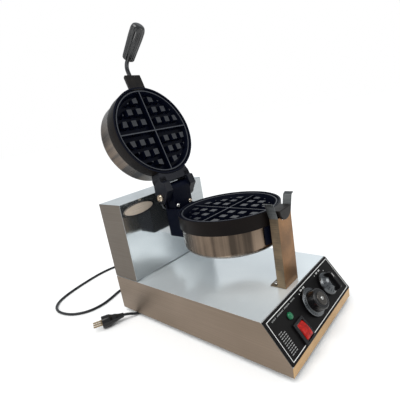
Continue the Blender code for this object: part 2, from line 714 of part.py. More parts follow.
def make_carrier():
    """Carrier bracket, hinge block with its two screws, spindle and collar."""
    top = PARTING_HEIGHT - 0.007
    bottom = PARTING_HEIGHT - HOUSING_DEPTH + 0.004
    outer = 0.031
    inner = 0.027
    rear = 0.321
    web = 0.004
    front = 0.255
    outline = [(-outer, front), (-inner, front), (-inner, rear - web), (inner, rear - web), (inner, front),
               (outer, front), (outer, rear), (-outer, rear)]
    outline = [(x, FRONT + setback) for x, setback in outline]
    carrier = slab("carrier_bracket", [outline], bottom, top)
    cut(carrier, plate_cylinder("carrier_fit"))
    low = at(-0.0262, rear - web, bottom)
    high = at(0.0262, rear, PARTING_HEIGHT + 0.0092)
    join(carrier, box("carrier_web", low, high))
    paint(carrier, *CAST)

    face = 0.293
    back = rear - web - GAP
    wide = inner - 0.0007
    knuckle = 0.0125
    crown = 0.0245
    hinge = (HINGE_SETBACK, HINGE_HEIGHT)
    side = [(face, PARTING_HEIGHT - 0.028), *arc(hinge, crown, 146.4, 72.0, 8),
            *arc(hinge, knuckle, 5.0, -75.0, 6), (back, PARTING_HEIGHT - 0.028)]
    bore = circle(hinge, BOLT_RADIUS + GAP, 16)
    outlines = [[(FRONT + setback, height) for setback, height in line] for line in (side, bore)]
    block = slab("hinge_block", outlines, -wide, wide, SIDE_VIEW)
    screws = []
    for index, x in enumerate((-0.019, 0.019)):
        place = move_to(at(x, face - GAP, PARTING_HEIGHT - 0.001), FORWARD)
        cut(block, rod(f"block_hole_{index + 1}", 0.0028, -0.016, 0.004, place, 12))
        profile = [(0.0, 0.0032), (0.0036, 0.0028), (0.0046, 0.0012), (0.0046, 0.0), (0.0025, 0.0),
                   (0.0025, -0.014), (0.0, -0.014)]
        screw = turned(f"hinge_block_screw_{index + 1}", profile, place, 16)
        screws.append(paint(screw, *STEEL))
    paint(block, *CAST)

    start = rear + GAP
    end = BASE_LENGTH - 0.013
    line = move_to(at(0.0, 0.0, PARTING_HEIGHT), FORWARD)
    spindle = rod("spindle", SPINDLE_RADIUS, -end, -start, line, 32)
    paint(spindle, *STEEL)
    low = BASE_LENGTH - 0.018 + 0.0012
    profile = [(SPINDLE_RADIUS + 0.0001, -low), (0.016, -low), (0.016, -low - 0.006),
               (SPINDLE_RADIUS + 0.0001, -low - 0.006)]
    collar = turned("spindle_collar", profile, line, 32, ring=True)
    paint(collar, *DARK_STEEL)
    return [carrier, block, *screws, spindle, collar]


# ---------------------------------------------------------------- upper plate, made shut

def make_upper_plate():
    """Upper casting, housing, heater and clamp, facing down on the lower plate."""
    frame = move_to(at(0.0, PLATE_SETBACK, PARTING_HEIGHT + 0.0008), Matrix.Rotation(pi, 4, "X"))
    casting = make_casting("upper_casting", UPPER_RECESS, frame)
    housing = make_housing("upper_housing", frame)
    heater = make_heater("upper_heater", frame)
    return [casting, housing, heater, make_clamp("upper", frame)]


def make_lid_bracket():
    """The bracket behind the upper plate, with its two ears, and the hinge bolt and nut."""
    low = PARTING_HEIGHT + 0.0015
    high = PARTING_HEIGHT + 0.029
    rear = 0.2875
    half = EAR_OUTER
    outline = [(-0.040, 0.250), (0.040, 0.250), (half, 0.276), (half, rear), (-half, rear), (-half, 0.276)]
    bracket = slab("lid_bracket", [[(x, FRONT + setback) for x, setback in outline]], low, high)
    ear = [(0.276, high), (0.276, low), (0.284, low), (0.288, PARTING_HEIGHT - 0.005),
           (0.3080, PARTING_HEIGHT - 0.005), *arc((HINGE_SETBACK, HINGE_HEIGHT), 0.014, -60.0, 90.0, 10),
           (0.300, high + 0.006), (0.285, high)]
    ear = [(FRONT + setback, height) for setback, height in ear]
    for name, start, end in (("left_ear", -half, -EAR_INNER), ("right_ear", EAR_INNER, half)):
        join(bracket, slab(name, [ear], start, end, SIDE_VIEW))
    cut(bracket, plate_cylinder("bracket_fit"))
    place = move_to(at(0.0, HINGE_SETBACK, HINGE_HEIGHT), TO_RIGHT)
    cut(bracket, rod("ear_bore", BOLT_RADIUS + GAP, -0.06, 0.06, place, 16))
    paint(bracket, *CAST)

    head = half + GAP
    profile = [(0.0, half + 0.009), (BOLT_RADIUS, half + 0.009), (BOLT_RADIUS, -head), (0.0080, -head),
               (0.0080, -head - 0.0035), (0.0062, -head - 0.0058), (0.0, -head - 0.0064)]
    bolt = turned("hinge_bolt", profile, place, 16)
    paint(bolt, *BRASS)
    inside = (BOLT_RADIUS + GAP) / cos(pi / 6)
    profile = [(inside, head + 0.0065), (0.0092, head + 0.0065), (0.0092, head), (inside, head)]
    nut = turned("hinge_nut", profile, place, 6, ring=True)
    paint(nut, *STEEL)
    return [bracket, bolt, nut]


def rod_path():
    """The handle rod's middle line, from the journal to inside the grip."""
    slide = Vector((0.0, -cos(GRIP_SLOPE), -sin(GRIP_SLOPE)))
    grip = at(0.0, GRIP_SETBACK, GRIP_HEIGHT)
    start = at(0.0, UPPER_JOURNAL_SETBACK + 0.010, ROD_HEIGHT)
    reach = (ROD_HEIGHT - GRIP_HEIGHT) / sin(GRIP_SLOPE)
    corner = at(0.0, GRIP_SETBACK + reach * cos(GRIP_SLOPE), ROD_HEIGHT)
    bend_from = corner + Vector((0.0, 0.014, 0.0))
    bend_to = corner + slide * 0.014
    points = [start]
    for step in range(9):
        t = step / 8
        points.append(bend_from * (1 - t) ** 2 + corner * 2 * t * (1 - t) + bend_to * t * t)
    points.append(grip + slide * 0.052)
    return points, grip, slide


def make_handle():
    """Upper half of the journal, the bent rod and the round grip."""
    journal = half_journal("upper_journal", 1, 0.0008 + GAP, UPPER_JOURNAL_SETBACK)
    cut(journal, plate_cylinder("upper_journal_fit"))
    hole = move_to(at(0.0, UPPER_JOURNAL_SETBACK, ROD_HEIGHT), FORWARD)
    cut(journal, rod("rod_hole", ROD_RADIUS + GAP, -0.0105, 0.01, hole, 16))
    paint(journal, *CAST)
    points, grip, slide = rod_path()
    handle = tube("handle_rod", points, ROD_RADIUS, 2)
    paint(handle, *DARK_STEEL)
    direction = slide.to_track_quat("Z", "Y").to_matrix().to_4x4()
    bore = ROD_RADIUS + GAP
    profile = [(0.0, GRIP_LENGTH), (0.0070, GRIP_LENGTH), (0.0122, GRIP_LENGTH - 0.003),
               (0.0152, GRIP_LENGTH - 0.010), (0.0152, GRIP_LENGTH - 0.026), (0.0132, 0.002), (0.0125, 0.0),
               (bore, 0.0), (bore, 0.0525), (0.0, 0.0525)]
    cover = turned("handle_grip", profile, move_to(grip, direction))
    paint(cover, *BLACK)
    return [journal, handle, cover]


# ---------------------------------------------------------------- mains lead

def smooth_route(points, spacing):
    """Evenly spaced places on a smooth curve through the points."""
    dense = []
    last = len(points) - 1
    for index in range(last):
        before = points[max(index - 1, 0)]
        here = points[index]
        after = points[index + 1]
        beyond = points[min(index + 2, last)]
        for step in range(16):
            t = step / 16
            dense.append(0.5 * ((2 * here) + (after - before) * t
                                + (2 * before - 5 * here + 4 * after - beyond) * t * t
                                + (3 * here - before - 3 * after + beyond) * t ** 3))
    dense.append(points[last])
    length = sum((b - a).length for a, b in zip(dense, dense[1:]))
    count = round(length / spacing)
    places = [dense[0]]
    walked = 0.0
    for a, b in zip(dense, dense[1:]):
        step = (b - a).length
        while len(places) < count and walked + step >= len(places) * length / count:
            places.append(a.lerp(b, (len(places) * length / count - walked) / step))
        walked += step
    places.append(dense[-1])
    return places


def lead_from_base():
    """The lead from the strain relief down to the coil, as (x, setback, height)."""
    start = BASE_LENGTH + RELIEF_LENGTH + GAP
    return [(EXIT_X, start, 0.0450), (EXIT_X, 0.470, 0.0440), (EXIT_X, 0.484, 0.0375),
            (EXIT_X, 0.497, 0.0265), (EXIT_X, 0.510, 0.0140), (EXIT_X, 0.522, 0.0060),
            (EXIT_X, 0.5345, CORD_LIE)]


def lead_to_plug():
    """The lead from the coil, round the open loop, under the base and up to the plug."""
    lie = CORD_LIE
    return [(EXIT_X, 0.5855, lie), (0.059, 0.600, lie), (0.054, 0.622, lie), (0.042, 0.643, lie),
            (0.025, 0.659, lie), (0.005, 0.668, lie), (-0.023, 0.672, lie), (-0.052, 0.671, lie),
            (-0.090, 0.665, lie), (-0.126, 0.657, lie), (-0.161, 0.646, lie), (-0.190, 0.630, lie),
            (-0.208, 0.607, lie), (-0.214, 0.577, lie), (-0.207, 0.543, lie), (-0.191, 0.519, lie),
            (-0.168, 0.504, lie), (-0.139, 0.500, lie), (-0.110, 0.506, lie), (-0.077, 0.516, lie),
            (-0.044, 0.516, lie), (-0.016, 0.502, lie), (-0.001, 0.478, lie), (-0.004, 0.449, lie),
            (-0.021, 0.422, lie), (-0.044, 0.399, lie), (-0.072, 0.383, lie), (-0.098, 0.3765, 0.0034),
            (-0.116, 0.3778, 0.0040), (-0.1280, 0.3821, 0.0062), (-0.1390, 0.3871, 0.0108),
            (-0.1495, 0.3922, PLUG_HEIGHT)]


def make_lead():
    """Strain relief, the lead's tubes, its coil, and the plug with three pins."""
    profile = [(0.0, RELIEF_LENGTH), (0.0042, RELIEF_LENGTH), (0.0062, 0.006), (0.0100, 0.004), (0.0100, GAP),
               (0.0070, GAP), (0.0070, -0.008), (0.0, -0.008)]
    relief = turned("strain_relief", profile, move_to(at(EXIT_X, BASE_LENGTH, EXIT_HEIGHT), BACKWARD))
    paint(relief, *RUBBER)

    for name, route in (("cord_from_base", lead_from_base()), ("cord_to_plug", lead_to_plug())):
        points = smooth_route([at(*place) for place in route], 0.0135)
        paint(tube(name, points, CORD_RADIUS, 2), *RUBBER)

    half = COIL_WIDTH / 2
    low = 0.0003
    high = low + COIL_WIDTH
    profile = [(COIL_RADIUS - half, high - 0.002), (COIL_RADIUS - half + 0.002, high),
               (COIL_RADIUS + half - 0.002, high), (COIL_RADIUS + half, high - 0.002),
               (COIL_RADIUS + half, low), (COIL_RADIUS - half, low)]
    middle = at(EXIT_X + COIL_RADIUS, COIL_SETBACK, 0.0)
    paint(turned("cord_coil", profile, move_to(middle), 32, ring=True), *RUBBER)

    end = at(*lead_to_plug()[-1])
    heading = Vector((-0.899, 0.438, 0.0)).normalized()
    frame = move_to(end, heading.to_track_quat("Z", "Y").to_matrix().to_4x4())
    length = 0.048
    profile = [(0.0, length), (0.0120, length), (0.0130, length - 0.002), (0.0130, length - 0.016),
               (0.0105, length - 0.026), (0.0060, 0.010), (0.0045, 2 * GAP), (0.0, 2 * GAP)]
    paint(turned("plug_body", profile, frame), *BLACK)
    for index, spread in enumerate((-0.0085, 0.0, 0.0085)):
        start = length + GAP
        profile = [(0.0, start + 0.019), (0.0014, start + 0.019), (0.0022, start + 0.0175), (0.0022, start),
                   (0.0, start)]
        pin = turned(f"plug_pin_{index + 1}", profile, frame @ Matrix.Translation((spread, 0.0, 0.0)), 12)
        paint(pin, *BRASS)


# ---------------------------------------------------------------- assembly

def main():
    """Builds the waffle maker with its upper plate open."""
    make_base()
    make_tower()
    make_bearing()
    make_post()
    make_controls()
    make_terminal_block()
    make_lead()

    turn = pivot("plate_turn_pivot", move_to(at(0.0, PLATE_SETBACK, PARTING_HEIGHT)))
    ride(turn, *make_lower_plate(), *make_carrier())

    hinge = move_to(at(0.0, HINGE_SETBACK, HINGE_HEIGHT))
    lid = pivot("lid_pivot", hinge, turn)
    ride(lid, *make_upper_plate(), *make_lid_bracket(), *make_handle())
    lid.rotation_euler = (-OPEN_ANGLE, 0.0, 0.0)
    bpy.context.view_layer.update()


clear_scene()
PARTS = new_collection("rotary_waffle_maker")
CUTTERS = new_collection("cutters")
main()
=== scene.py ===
"""Looks of a rotary round waffle maker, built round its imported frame.

Metres, +Z up, the front faces -Y. Z is 0 under the feet, and X is 0 at the middle of the base.
A setback is a distance behind the front edge of the base.
Pieces of the upper plate are shaped shut and stand open through their object's matrix.
"""

import json
from math import atan2, cos, hypot, pi, radians, sin, sqrt

import bmesh
import bpy
from mathutils import Matrix, Vector

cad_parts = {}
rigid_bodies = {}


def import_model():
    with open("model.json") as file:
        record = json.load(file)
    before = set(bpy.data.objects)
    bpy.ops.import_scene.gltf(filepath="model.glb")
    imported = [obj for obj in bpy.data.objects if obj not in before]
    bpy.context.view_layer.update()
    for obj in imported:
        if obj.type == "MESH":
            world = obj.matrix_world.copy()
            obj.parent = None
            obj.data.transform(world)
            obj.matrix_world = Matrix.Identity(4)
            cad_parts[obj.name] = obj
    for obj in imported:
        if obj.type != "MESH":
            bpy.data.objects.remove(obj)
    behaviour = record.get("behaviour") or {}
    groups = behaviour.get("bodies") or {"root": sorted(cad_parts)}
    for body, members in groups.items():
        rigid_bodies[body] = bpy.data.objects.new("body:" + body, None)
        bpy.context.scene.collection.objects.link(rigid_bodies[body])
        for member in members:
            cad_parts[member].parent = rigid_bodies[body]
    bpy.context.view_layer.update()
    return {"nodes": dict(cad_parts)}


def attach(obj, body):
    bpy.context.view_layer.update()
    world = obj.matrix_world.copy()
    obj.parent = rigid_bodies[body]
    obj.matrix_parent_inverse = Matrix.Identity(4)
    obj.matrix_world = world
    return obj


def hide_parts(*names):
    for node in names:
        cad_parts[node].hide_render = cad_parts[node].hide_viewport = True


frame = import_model()

# Base and tower
FRONT = -0.2134
BASE_WIDTH = 0.25
BASE_LENGTH = 0.426
FOOT_HEIGHT = 0.01
DECK_HEIGHT = 0.09
LIP_HEIGHT = 0.0277
PANEL_RUN = 0.0457
TOWER_DEPTH = 0.0767
TOWER_HEIGHT = 0.261
BADGE_HALF = (0.039, 0.012)
SHEET = 0.0012
GAP = 0.0003

# Plates
PLATE_SETBACK = 0.1723
PLATE_RADIUS = 0.0995
PLATE_FIT = PLATE_RADIUS + 0.0004
PARTING_HEIGHT = 0.233
PARTING_GAP = 0.0008
CASTING_HEIGHT = 0.027
HOUSING_RADIUS = 0.0965
HOUSING_DEPTH = 0.073
HOUSING_FILLET = 0.013
RIDGE_RADIUS = 0.0915
STUD_PITCH = 0.0246
STUD_START = 0.0215
STUD_TOP = 0.0125
STUD_DEPTH = 0.014
STUD_LIMIT = 0.0785
RIB_HALF = 0.0018
LOWER_RECESS = 0.006
UPPER_RECESS = 0.002
STRAP_HALF_ANGLE = 18.3

# Hinge of the upper plate
HINGE_SETBACK = 0.3134
HINGE_HEIGHT = 0.255
OPEN_ANGLE = radians(108.6)
BOLT_RADIUS = 0.005
EAR_INNER = 0.0268
EAR_OUTER = 0.0445

# Journal and post
JOURNAL_RADIUS = 0.0205
LOWER_JOURNAL_SETBACK = 0.0515
UPPER_JOURNAL_SETBACK = 0.044
POST_SETBACK = 0.055
POST_WIDTH = 0.0475
POST_DEPTH = 0.0163
POST_TOP = 0.22
POST_SHEET = 0.0015

# Handle
ROD_RADIUS = 0.0045
ROD_HEIGHT = PARTING_HEIGHT + 0.0096
GRIP_SETBACK = 0.0114
GRIP_HEIGHT = 0.2256
GRIP_SLOPE = radians(66.3)
GRIP_LENGTH = 0.075

# Controls, as (across, up the slope) places on the panel
THERMOSTAT_PLACE = (-0.0015, 0.0393)
TIMER_PLACE = (0.067, 0.04)
SWITCH_PLACE = (-0.0605, 0.0217)
LAMP_PLACE = (-0.0675, 0.0528)
SWITCH_WINDOW = (0.024, 0.0335)
CONTROL_HOLE = 0.0053
ROCKER_TILT = radians(8.0)
PANEL_FACE = 0.0026
PRINT_FACE = PANEL_FACE + 0.00008
KNOB_LIFT = 0.003

# Mains lead
CORD_RADIUS = 0.003
CORD_LIE = 0.0033
EXIT_X = 0.06
EXIT_HEIGHT = 0.045
RELIEF_LENGTH = 0.032
COIL_RADIUS = 0.033
COIL_SETBACK = 0.56
OUTER_TURN = 0.0362
TURN_STEP_IN = 0.0064
TURN_STEP_OUT = 0.0032
TURN_STEP_UP = 0.0056
PLUG_PLACE = (-0.1495, 0.3922)
PLUG_HEIGHT = 0.0133
PLUG_LENGTH = 0.048
PIN_PITCH = 0.0085

# Camera: its place, and its right, up and backward axes
CAMERA_PLACE = (-0.47842, -0.42231, 0.39688)
CAMERA_AXES = ((0.64882, -0.74237, -0.16707), (0.28402, 0.03257, 0.95826), (-0.70595, -0.6692, 0.23199))
LENS = 29.32
SENSOR = 36.0
FLOOR_HALF = 40.0

UP = Matrix.Identity(4)
FORWARD = Matrix.Rotation(pi / 2, 4, "X")
BACKWARD = Matrix.Rotation(-pi / 2, 4, "X")
TO_RIGHT = Matrix.Rotation(pi / 2, 4, "Y")
SIDE_VIEW = Matrix(((0, 0, 1, 0), (1, 0, 0, 0), (0, 1, 0, 0), (0, 0, 0, 1)))


def at(x, setback, z):
    """A place given by its distance behind the front edge of the base."""
    return Vector((x, FRONT + setback, z))


def move_to(place, direction=UP):
    """A frame at a place, with its Z axis along a direction."""
    return Matrix.Translation(place) @ direction


def facing(direction):
    """A turn that points the Z axis along a direction."""
    return Vector(direction).to_track_quat("Z", "Y").to_matrix().to_4x4()


def add(name, data, place=UP):
    """An object in the scene."""
    piece = bpy.data.objects.new(name, data)
    piece.matrix_world = place
    bpy.context.scene.collection.objects.link(piece)
    return piece


SLOPE = atan2(DECK_HEIGHT - LIP_HEIGHT, PANEL_RUN)
PANEL = Matrix.Translation((0.0, FRONT, LIP_HEIGHT)) @ Matrix.Rotation(SLOPE, 4, "X")
HINGE = move_to(at(0.0, HINGE_SETBACK, HINGE_HEIGHT))
OPEN = HINGE @ Matrix.Rotation(-OPEN_ANGLE, 4, "X") @ HINGE.inverted()
LOWER = move_to(at(0.0, PLATE_SETBACK, PARTING_HEIGHT))
UPPER = OPEN @ move_to(at(0.0, PLATE_SETBACK, PARTING_HEIGHT + PARTING_GAP), Matrix.Rotation(pi, 4, "X"))


# ---- materials

SKINS = {}


def feed(tree, target, **inputs):
    """Gives a node's inputs their values, or links them to other nodes' outputs."""
    for name, value in inputs.items():
        socket = target.inputs[name.replace("_", " ")]
        if isinstance(value, bpy.types.NodeSocket):
            tree.links.new(value, socket)
        else:
            socket.default_value = value
    return target


def node(tree, kind, **inputs):
    """A new shader node with its inputs set."""
    return feed(tree, tree.nodes.new("ShaderNode" + kind), **inputs)


def finish(name, colour, second, metallic=0.0, roughness=0.4, spread=0.06, grain=400.0, patch=14.0, bump=0.1,
        depth=0.0002, coat=0.0, mix=0.5, contrast=0.15, specular=0.5):
    """A surface with fine grain, broad uneven patches and a slight relief; grain is one scale, or three."""
    skin = bpy.data.materials.new(name + "_finish")
    skin.use_nodes = True
    SKINS[name] = skin
    tree = skin.node_tree
    place = node(tree, "TexCoord").outputs["Object"]
    scale = grain if isinstance(grain, tuple) else (grain, grain, grain)
    stretch = node(tree, "Mapping", Vector=place, Scale=scale)
    fine = node(tree, "TexNoise", Vector=stretch.outputs["Vector"], Scale=1.0, Detail=5.0).outputs["Fac"]
    broad = node(tree, "TexNoise", Vector=place, Scale=patch, Detail=3.0).outputs["Fac"]
    both = node(tree, "Mix", Factor=mix, A=fine, B=broad).outputs["Result"]
    level = node(tree, "MapRange", Value=both, From_Min=0.5 - contrast, From_Max=0.5 + contrast)
    shade = level.outputs["Result"]
    tint = tree.nodes.new("ShaderNodeMix")
    tint.data_type = "RGBA"
    feed(tree, tint, Factor=shade, A=(*colour, 1.0), B=(*second, 1.0))
    low = max(roughness - spread, 0.02)
    rough = node(tree, "MapRange", Value=shade, To_Min=low, To_Max=roughness + spread)
    relief = node(tree, "Bump", Strength=bump, Distance=depth, Height=fine)
    feed(tree, tree.nodes["Principled BSDF"], Base_Color=tint.outputs["Result"],
        Normal=relief.outputs["Normal"], Roughness=rough.outputs["Result"], Metallic=metallic,
        Specular_IOR_Level=specular, Coat_Weight=coat, Coat_Roughness=0.12)


def brushed(name, colour, second, grain, roughness=0.3, metallic=1.0, **more):
    """Brushed steel with its lines along the axis that has the smallest grain number."""
    finish(name, colour, second, metallic=metallic, roughness=roughness, grain=grain, **more)


ALONG_X = (5.0, 1100.0, 1100.0)
ALONG_Y = (1100.0, 5.0, 1100.0)
UPRIGHT = (1100.0, 1100.0, 5.0)
SPUN = (42.0, 42.0, 0.5)

# Tinted copies of the base's one steel, by face: the deck lighter and bluer, painted light and sky reflection
# from above; the side darker taupe, painted shade and reflection; the lip orange, a painted reflection.
brushed("deck_painted_light", (0.92, 0.975, 1.0), (0.84, 0.905, 0.94), ALONG_X, 0.2, 0.56, patch=7.0, bump=0.012, mix=0.75,
    spread=0.05)
brushed("side", (0.25, 0.195, 0.15), (0.205, 0.158, 0.118), ALONG_Y, 0.42, patch=7.0, bump=0.05)
# Tinted copies of the tower's one steel, by face: wall darker brown for the sides, painted shade and
# reflection; tower for the front; top lighter, painted light from above.
brushed("wall", (0.15, 0.128, 0.106), (0.122, 0.102, 0.084), ALONG_Y, 0.4, patch=7.0, bump=0.05)
brushed("lip_painted_reflection", (0.56, 0.36, 0.165), (0.43, 0.26, 0.11), ALONG_X, 0.36, patch=18.0)
brushed("tower", (0.42, 0.445, 0.455), (0.355, 0.38, 0.39), ALONG_X, 0.1, 0.92, patch=8.0, bump=0.015,
    spread=0.03)
brushed("top", (0.7, 0.74, 0.76), (0.6, 0.64, 0.66), ALONG_X, 0.42, patch=20.0)
brushed("plain", (0.5, 0.5, 0.49), (0.4, 0.4, 0.4), ALONG_X, 0.34)
# Band tones for the sides of the spun housings: brown with light streaks, painted reflections on the steel;
# the upper housing's copy is darker, painted shade.
brushed("band", (0.25, 0.185, 0.136), (0.058, 0.045, 0.035), SPUN, 0.24, patch=9.0, mix=0.3, bump=0.02,
    contrast=0.1)
brushed("upper_band_painted_reflection", (0.2, 0.15, 0.11), (0.045, 0.04, 0.038), SPUN, 0.24, patch=9.0, mix=0.3, bump=0.02,
    contrast=0.1)
brushed("pan", (0.4, 0.37, 0.34), (0.28, 0.25, 0.23), 500.0, 0.34)
# Tinted copies of the post's one steel, by face: post orange-brown for the front, a painted reflection;
# flange darker grey-brown and wing grey, painted shade and reflection.
brushed("post", (0.27, 0.135, 0.052), (0.135, 0.072, 0.032), UPRIGHT, 0.34, patch=26.0, contrast=0.12)
brushed("flange", (0.185, 0.135, 0.085), (0.095, 0.073, 0.052), UPRIGHT, 0.34, patch=30.0, contrast=0.12)
brushed("wing", (0.135, 0.14, 0.14), (0.055, 0.058, 0.06), UPRIGHT, 0.32, patch=40.0)
finish("cast", (0.0014, 0.0022, 0.007), (0.0028, 0.0042, 0.0115), roughness=0.4, spread=0.07, grain=900.0,
    bump=0.25, depth=0.0003, patch=30.0, specular=0.06)
finish("sheen", (0.003, 0.0038, 0.008), (0.006, 0.007, 0.012), roughness=0.34, grain=800.0,
    bump=0.2, patch=36.0, specular=0.2)
finish("rim", (0.004, 0.003, 0.003), (0.0085, 0.006, 0.005), roughness=0.36, grain=700.0,
    bump=0.12, patch=24.0, specular=0.07)
# ridge and stud are lighter copies of the cast coating for the tops of the ridge, ribs and studs: painted
# highlights.
finish("ridge", (0.03, 0.034, 0.042), (0.06, 0.064, 0.074), roughness=0.42, spread=0.08, grain=800.0,
    bump=0.2, patch=40.0, specular=0.3)
finish("stud_top_painted_highlight", (0.01, 0.011, 0.014), (0.03, 0.033, 0.04), roughness=0.4, spread=0.08, grain=800.0,
    bump=0.3, depth=0.0003, patch=40.0, specular=0.35)
finish("journal", (0.0065, 0.0065, 0.0075), (0.018, 0.015, 0.013), roughness=0.42, spread=0.08, grain=700.0,
    bump=0.2, patch=60.0, specular=0.12)
finish("gloss", (0.004, 0.004, 0.0045), (0.008, 0.008, 0.0085), roughness=0.17, spread=0.05, grain=600.0,
    bump=0.03, specular=0.35)
finish("grip", (0.0035, 0.0035, 0.004), (0.007, 0.007, 0.0075), roughness=0.1, spread=0.03, grain=600.0,
    bump=0.01, specular=0.7)
finish("satin", (0.003, 0.003, 0.0034), (0.0065, 0.0065, 0.007), roughness=0.36, grain=900.0,
    bump=0.1, specular=0.12)
finish("panel", (0.003, 0.003, 0.0034), (0.0065, 0.006, 0.006), roughness=0.36, spread=0.05, grain=900.0,
    bump=0.04, patch=10.0, specular=0.08)
finish("skirt", (0.115, 0.123, 0.128), (0.078, 0.083, 0.088), metallic=0.9, roughness=0.24, grain=700.0,
    bump=0.05, patch=60.0)
finish("umber", (0.085, 0.078, 0.07), (0.05, 0.046, 0.042), metallic=0.8, roughness=0.26, grain=600.0,
    bump=0.05, patch=60.0)
finish("print", (0.8, 0.8, 0.78), (0.66, 0.66, 0.64), roughness=0.5, patch=60.0)
finish("faint", (0.16, 0.16, 0.16), (0.36, 0.36, 0.35), roughness=0.5, patch=200.0)
finish("red", (0.46, 0.008, 0.003), (0.2, 0.003, 0.0015), roughness=0.13, spread=0.04, grain=260.0,
    bump=0.06, coat=0.05, patch=110.0, specular=0.28)
finish("green", (0.002, 0.095, 0.036), (0.004, 0.15, 0.06), roughness=0.16, spread=0.04, grain=500.0,
    bump=0.05, coat=0.3, patch=120.0, specular=0.3)
finish("chrome", (0.62, 0.61, 0.59), (0.5, 0.49, 0.47), metallic=1.0, roughness=0.2, grain=700.0, bump=0.05,
    patch=90.0)
finish("gold", (0.27, 0.2, 0.12), (0.17, 0.13, 0.08), metallic=1.0, roughness=0.28, grain=700.0, bump=0.05,
    patch=90.0)
finish("zinc", (0.58, 0.49, 0.39), (0.36, 0.29, 0.22), metallic=0.9, roughness=0.2, grain=700.0, bump=0.05,
    patch=160.0)
finish("brass", (0.7, 0.6, 0.5), (0.58, 0.485, 0.39), metallic=0.2, roughness=0.3,
    grain=(20.0, 1200.0, 1200.0), bump=0.06, patch=50.0)
finish("dark", (0.075, 0.077, 0.08), (0.04, 0.041, 0.044), metallic=1.0, roughness=0.3, grain=500.0,
    bump=0.06, patch=40.0)
finish("rubber", (0.006, 0.006, 0.0065), (0.012, 0.012, 0.0125), roughness=0.55, grain=700.0, bump=0.2,
    patch=50.0, specular=0.25)
finish("cord", (0.006, 0.007, 0.009), (0.012, 0.013, 0.015), roughness=0.36, grain=500.0, bump=0.06,
    patch=60.0, specular=0.3)
finish("cream", (0.6, 0.57, 0.48), (0.52, 0.49, 0.41), roughness=0.5)
finish("floor", (0.97, 0.97, 0.97), (0.95, 0.95, 0.95), roughness=0.9, patch=2.0, bump=0.0, specular=0.2)


def dress(piece, *names):
    """Gives a piece its materials in order."""
    piece.data.materials.clear()
    for name in names:
        piece.data.materials.append(SKINS[name])
    return piece


# ---- shapes

CUTTERS = []


def mesh_piece(name, corners, faces, place):
    """An object from corners and faces."""
    mesh = bpy.data.meshes.new(name)
    mesh.from_pydata([tuple(corner) for corner in corners], [], faces)
    mesh.validate()
    return add(name, mesh, place)


def face_out(mesh, weld=0.0):
    """Turns every face outwards, after a weld where a distance is given."""
    bm = bmesh.new()
    bm.from_mesh(mesh)
    if weld:
        bmesh.ops.remove_doubles(bm, verts=bm.verts, dist=weld)
    bmesh.ops.recalc_face_normals(bm, faces=bm.faces)
    bm.to_mesh(mesh)
    bm.free()


def smooth(piece, angle=35.0):
    """Smooth shading that keeps the sharp edges."""
    for face in piece.data.polygons:
        face.use_smooth = True
    piece.data.set_sharp_from_angle(angle=radians(angle))
    return piece


def bevel(piece, width, segments=3, angle=32.0):
    """Rounds the sharp edges and keeps the flat faces flat."""
    edge = piece.modifiers.new("Bevel", "BEVEL")
    edge.width = width
    edge.segments = segments
    edge.limit_method = "ANGLE"
    edge.angle_limit = radians(angle)
    edge.harden_normals = True
    for face in piece.data.polygons:
        face.use_smooth = True
    return piece


def carve(piece, tool, name, operation):
    """Cuts a piece by a tool, or keeps what both share; both are settled at the end."""
    step = piece.modifiers.new(name, "BOOLEAN")
    step.operation = operation
    step.solver = "EXACT"
    step.object = tool
    CUTTERS.append(tool)


def arc(centre, radius, start, end, count):
    """Points on an arc, with its angles in degrees."""
    angles = [radians(start + (end - start) * step / count) for step in range(count + 1)]
    return [(centre[0] + radius * cos(a), centre[1] + radius * sin(a)) for a in angles]


def circle(centre, radius, count=48):
    """A closed round outline."""
    return arc(centre, radius, 0.0, 360.0 * (count - 1) / count, count - 1)


def rectangle(low, high):
    """A closed rectangular outline."""
    return [low, (high[0], low[1]), high, (low[0], high[1])]


def rounded(points, radius, steps=4, closed=True):
    """A line whose corners are rounded, less where its stretches are short."""
    result = []
    last = len(points) - 1
    for index, point in enumerate(points):
        if not closed and index in (0, last):
            result.append(point)
            continue
        here = Vector(point)
        before = Vector(points[index - 1]) - here
        after = Vector(points[(index + 1) % (last + 1)]) - here
        reach = min(radius, before.length * 0.45, after.length * 0.45)
        first = here + before.normalized() * reach
        second = here + after.normalized() * reach
        for step in range(steps + 1):
            t = step / steps
            place = first * (1 - t) ** 2 + here * 2 * t * (1 - t) + second * t * t
            result.append((place.x, place.y))
    return result


def turned(name, profile, place, steps=96, ring=False, shape=None, angle=35.0):
    """A piece turned about Z from a (radius, height) profile; shape may change a radius round the axis."""
    corners = []
    rows = []
    for radius, height in profile:
        if radius < 1e-6:
            rows.append([len(corners)] * steps)
            corners.append((0.0, 0.0, height))
            continue
        rows.append(list(range(len(corners), len(corners) + steps)))
        for step in range(steps):
            turn = 2 * pi * step / steps
            reach = shape(turn, radius, height) if shape else radius
            corners.append((reach * cos(turn), reach * sin(turn), height))
    pairs = list(zip(rows, rows[1:]))
    if ring:
        pairs.append((rows[-1], rows[0]))
    faces = []
    for upper, lower in pairs:
        for step in range(steps):
            after = (step + 1) % steps
            loop = [upper[step], lower[step], lower[after], upper[after]]
            face = list(dict.fromkeys(loop))
            if len(face) > 2:
                faces.append(face)
    piece = mesh_piece(name, corners, faces, place)
    face_out(piece.data)
    return smooth(piece, angle)


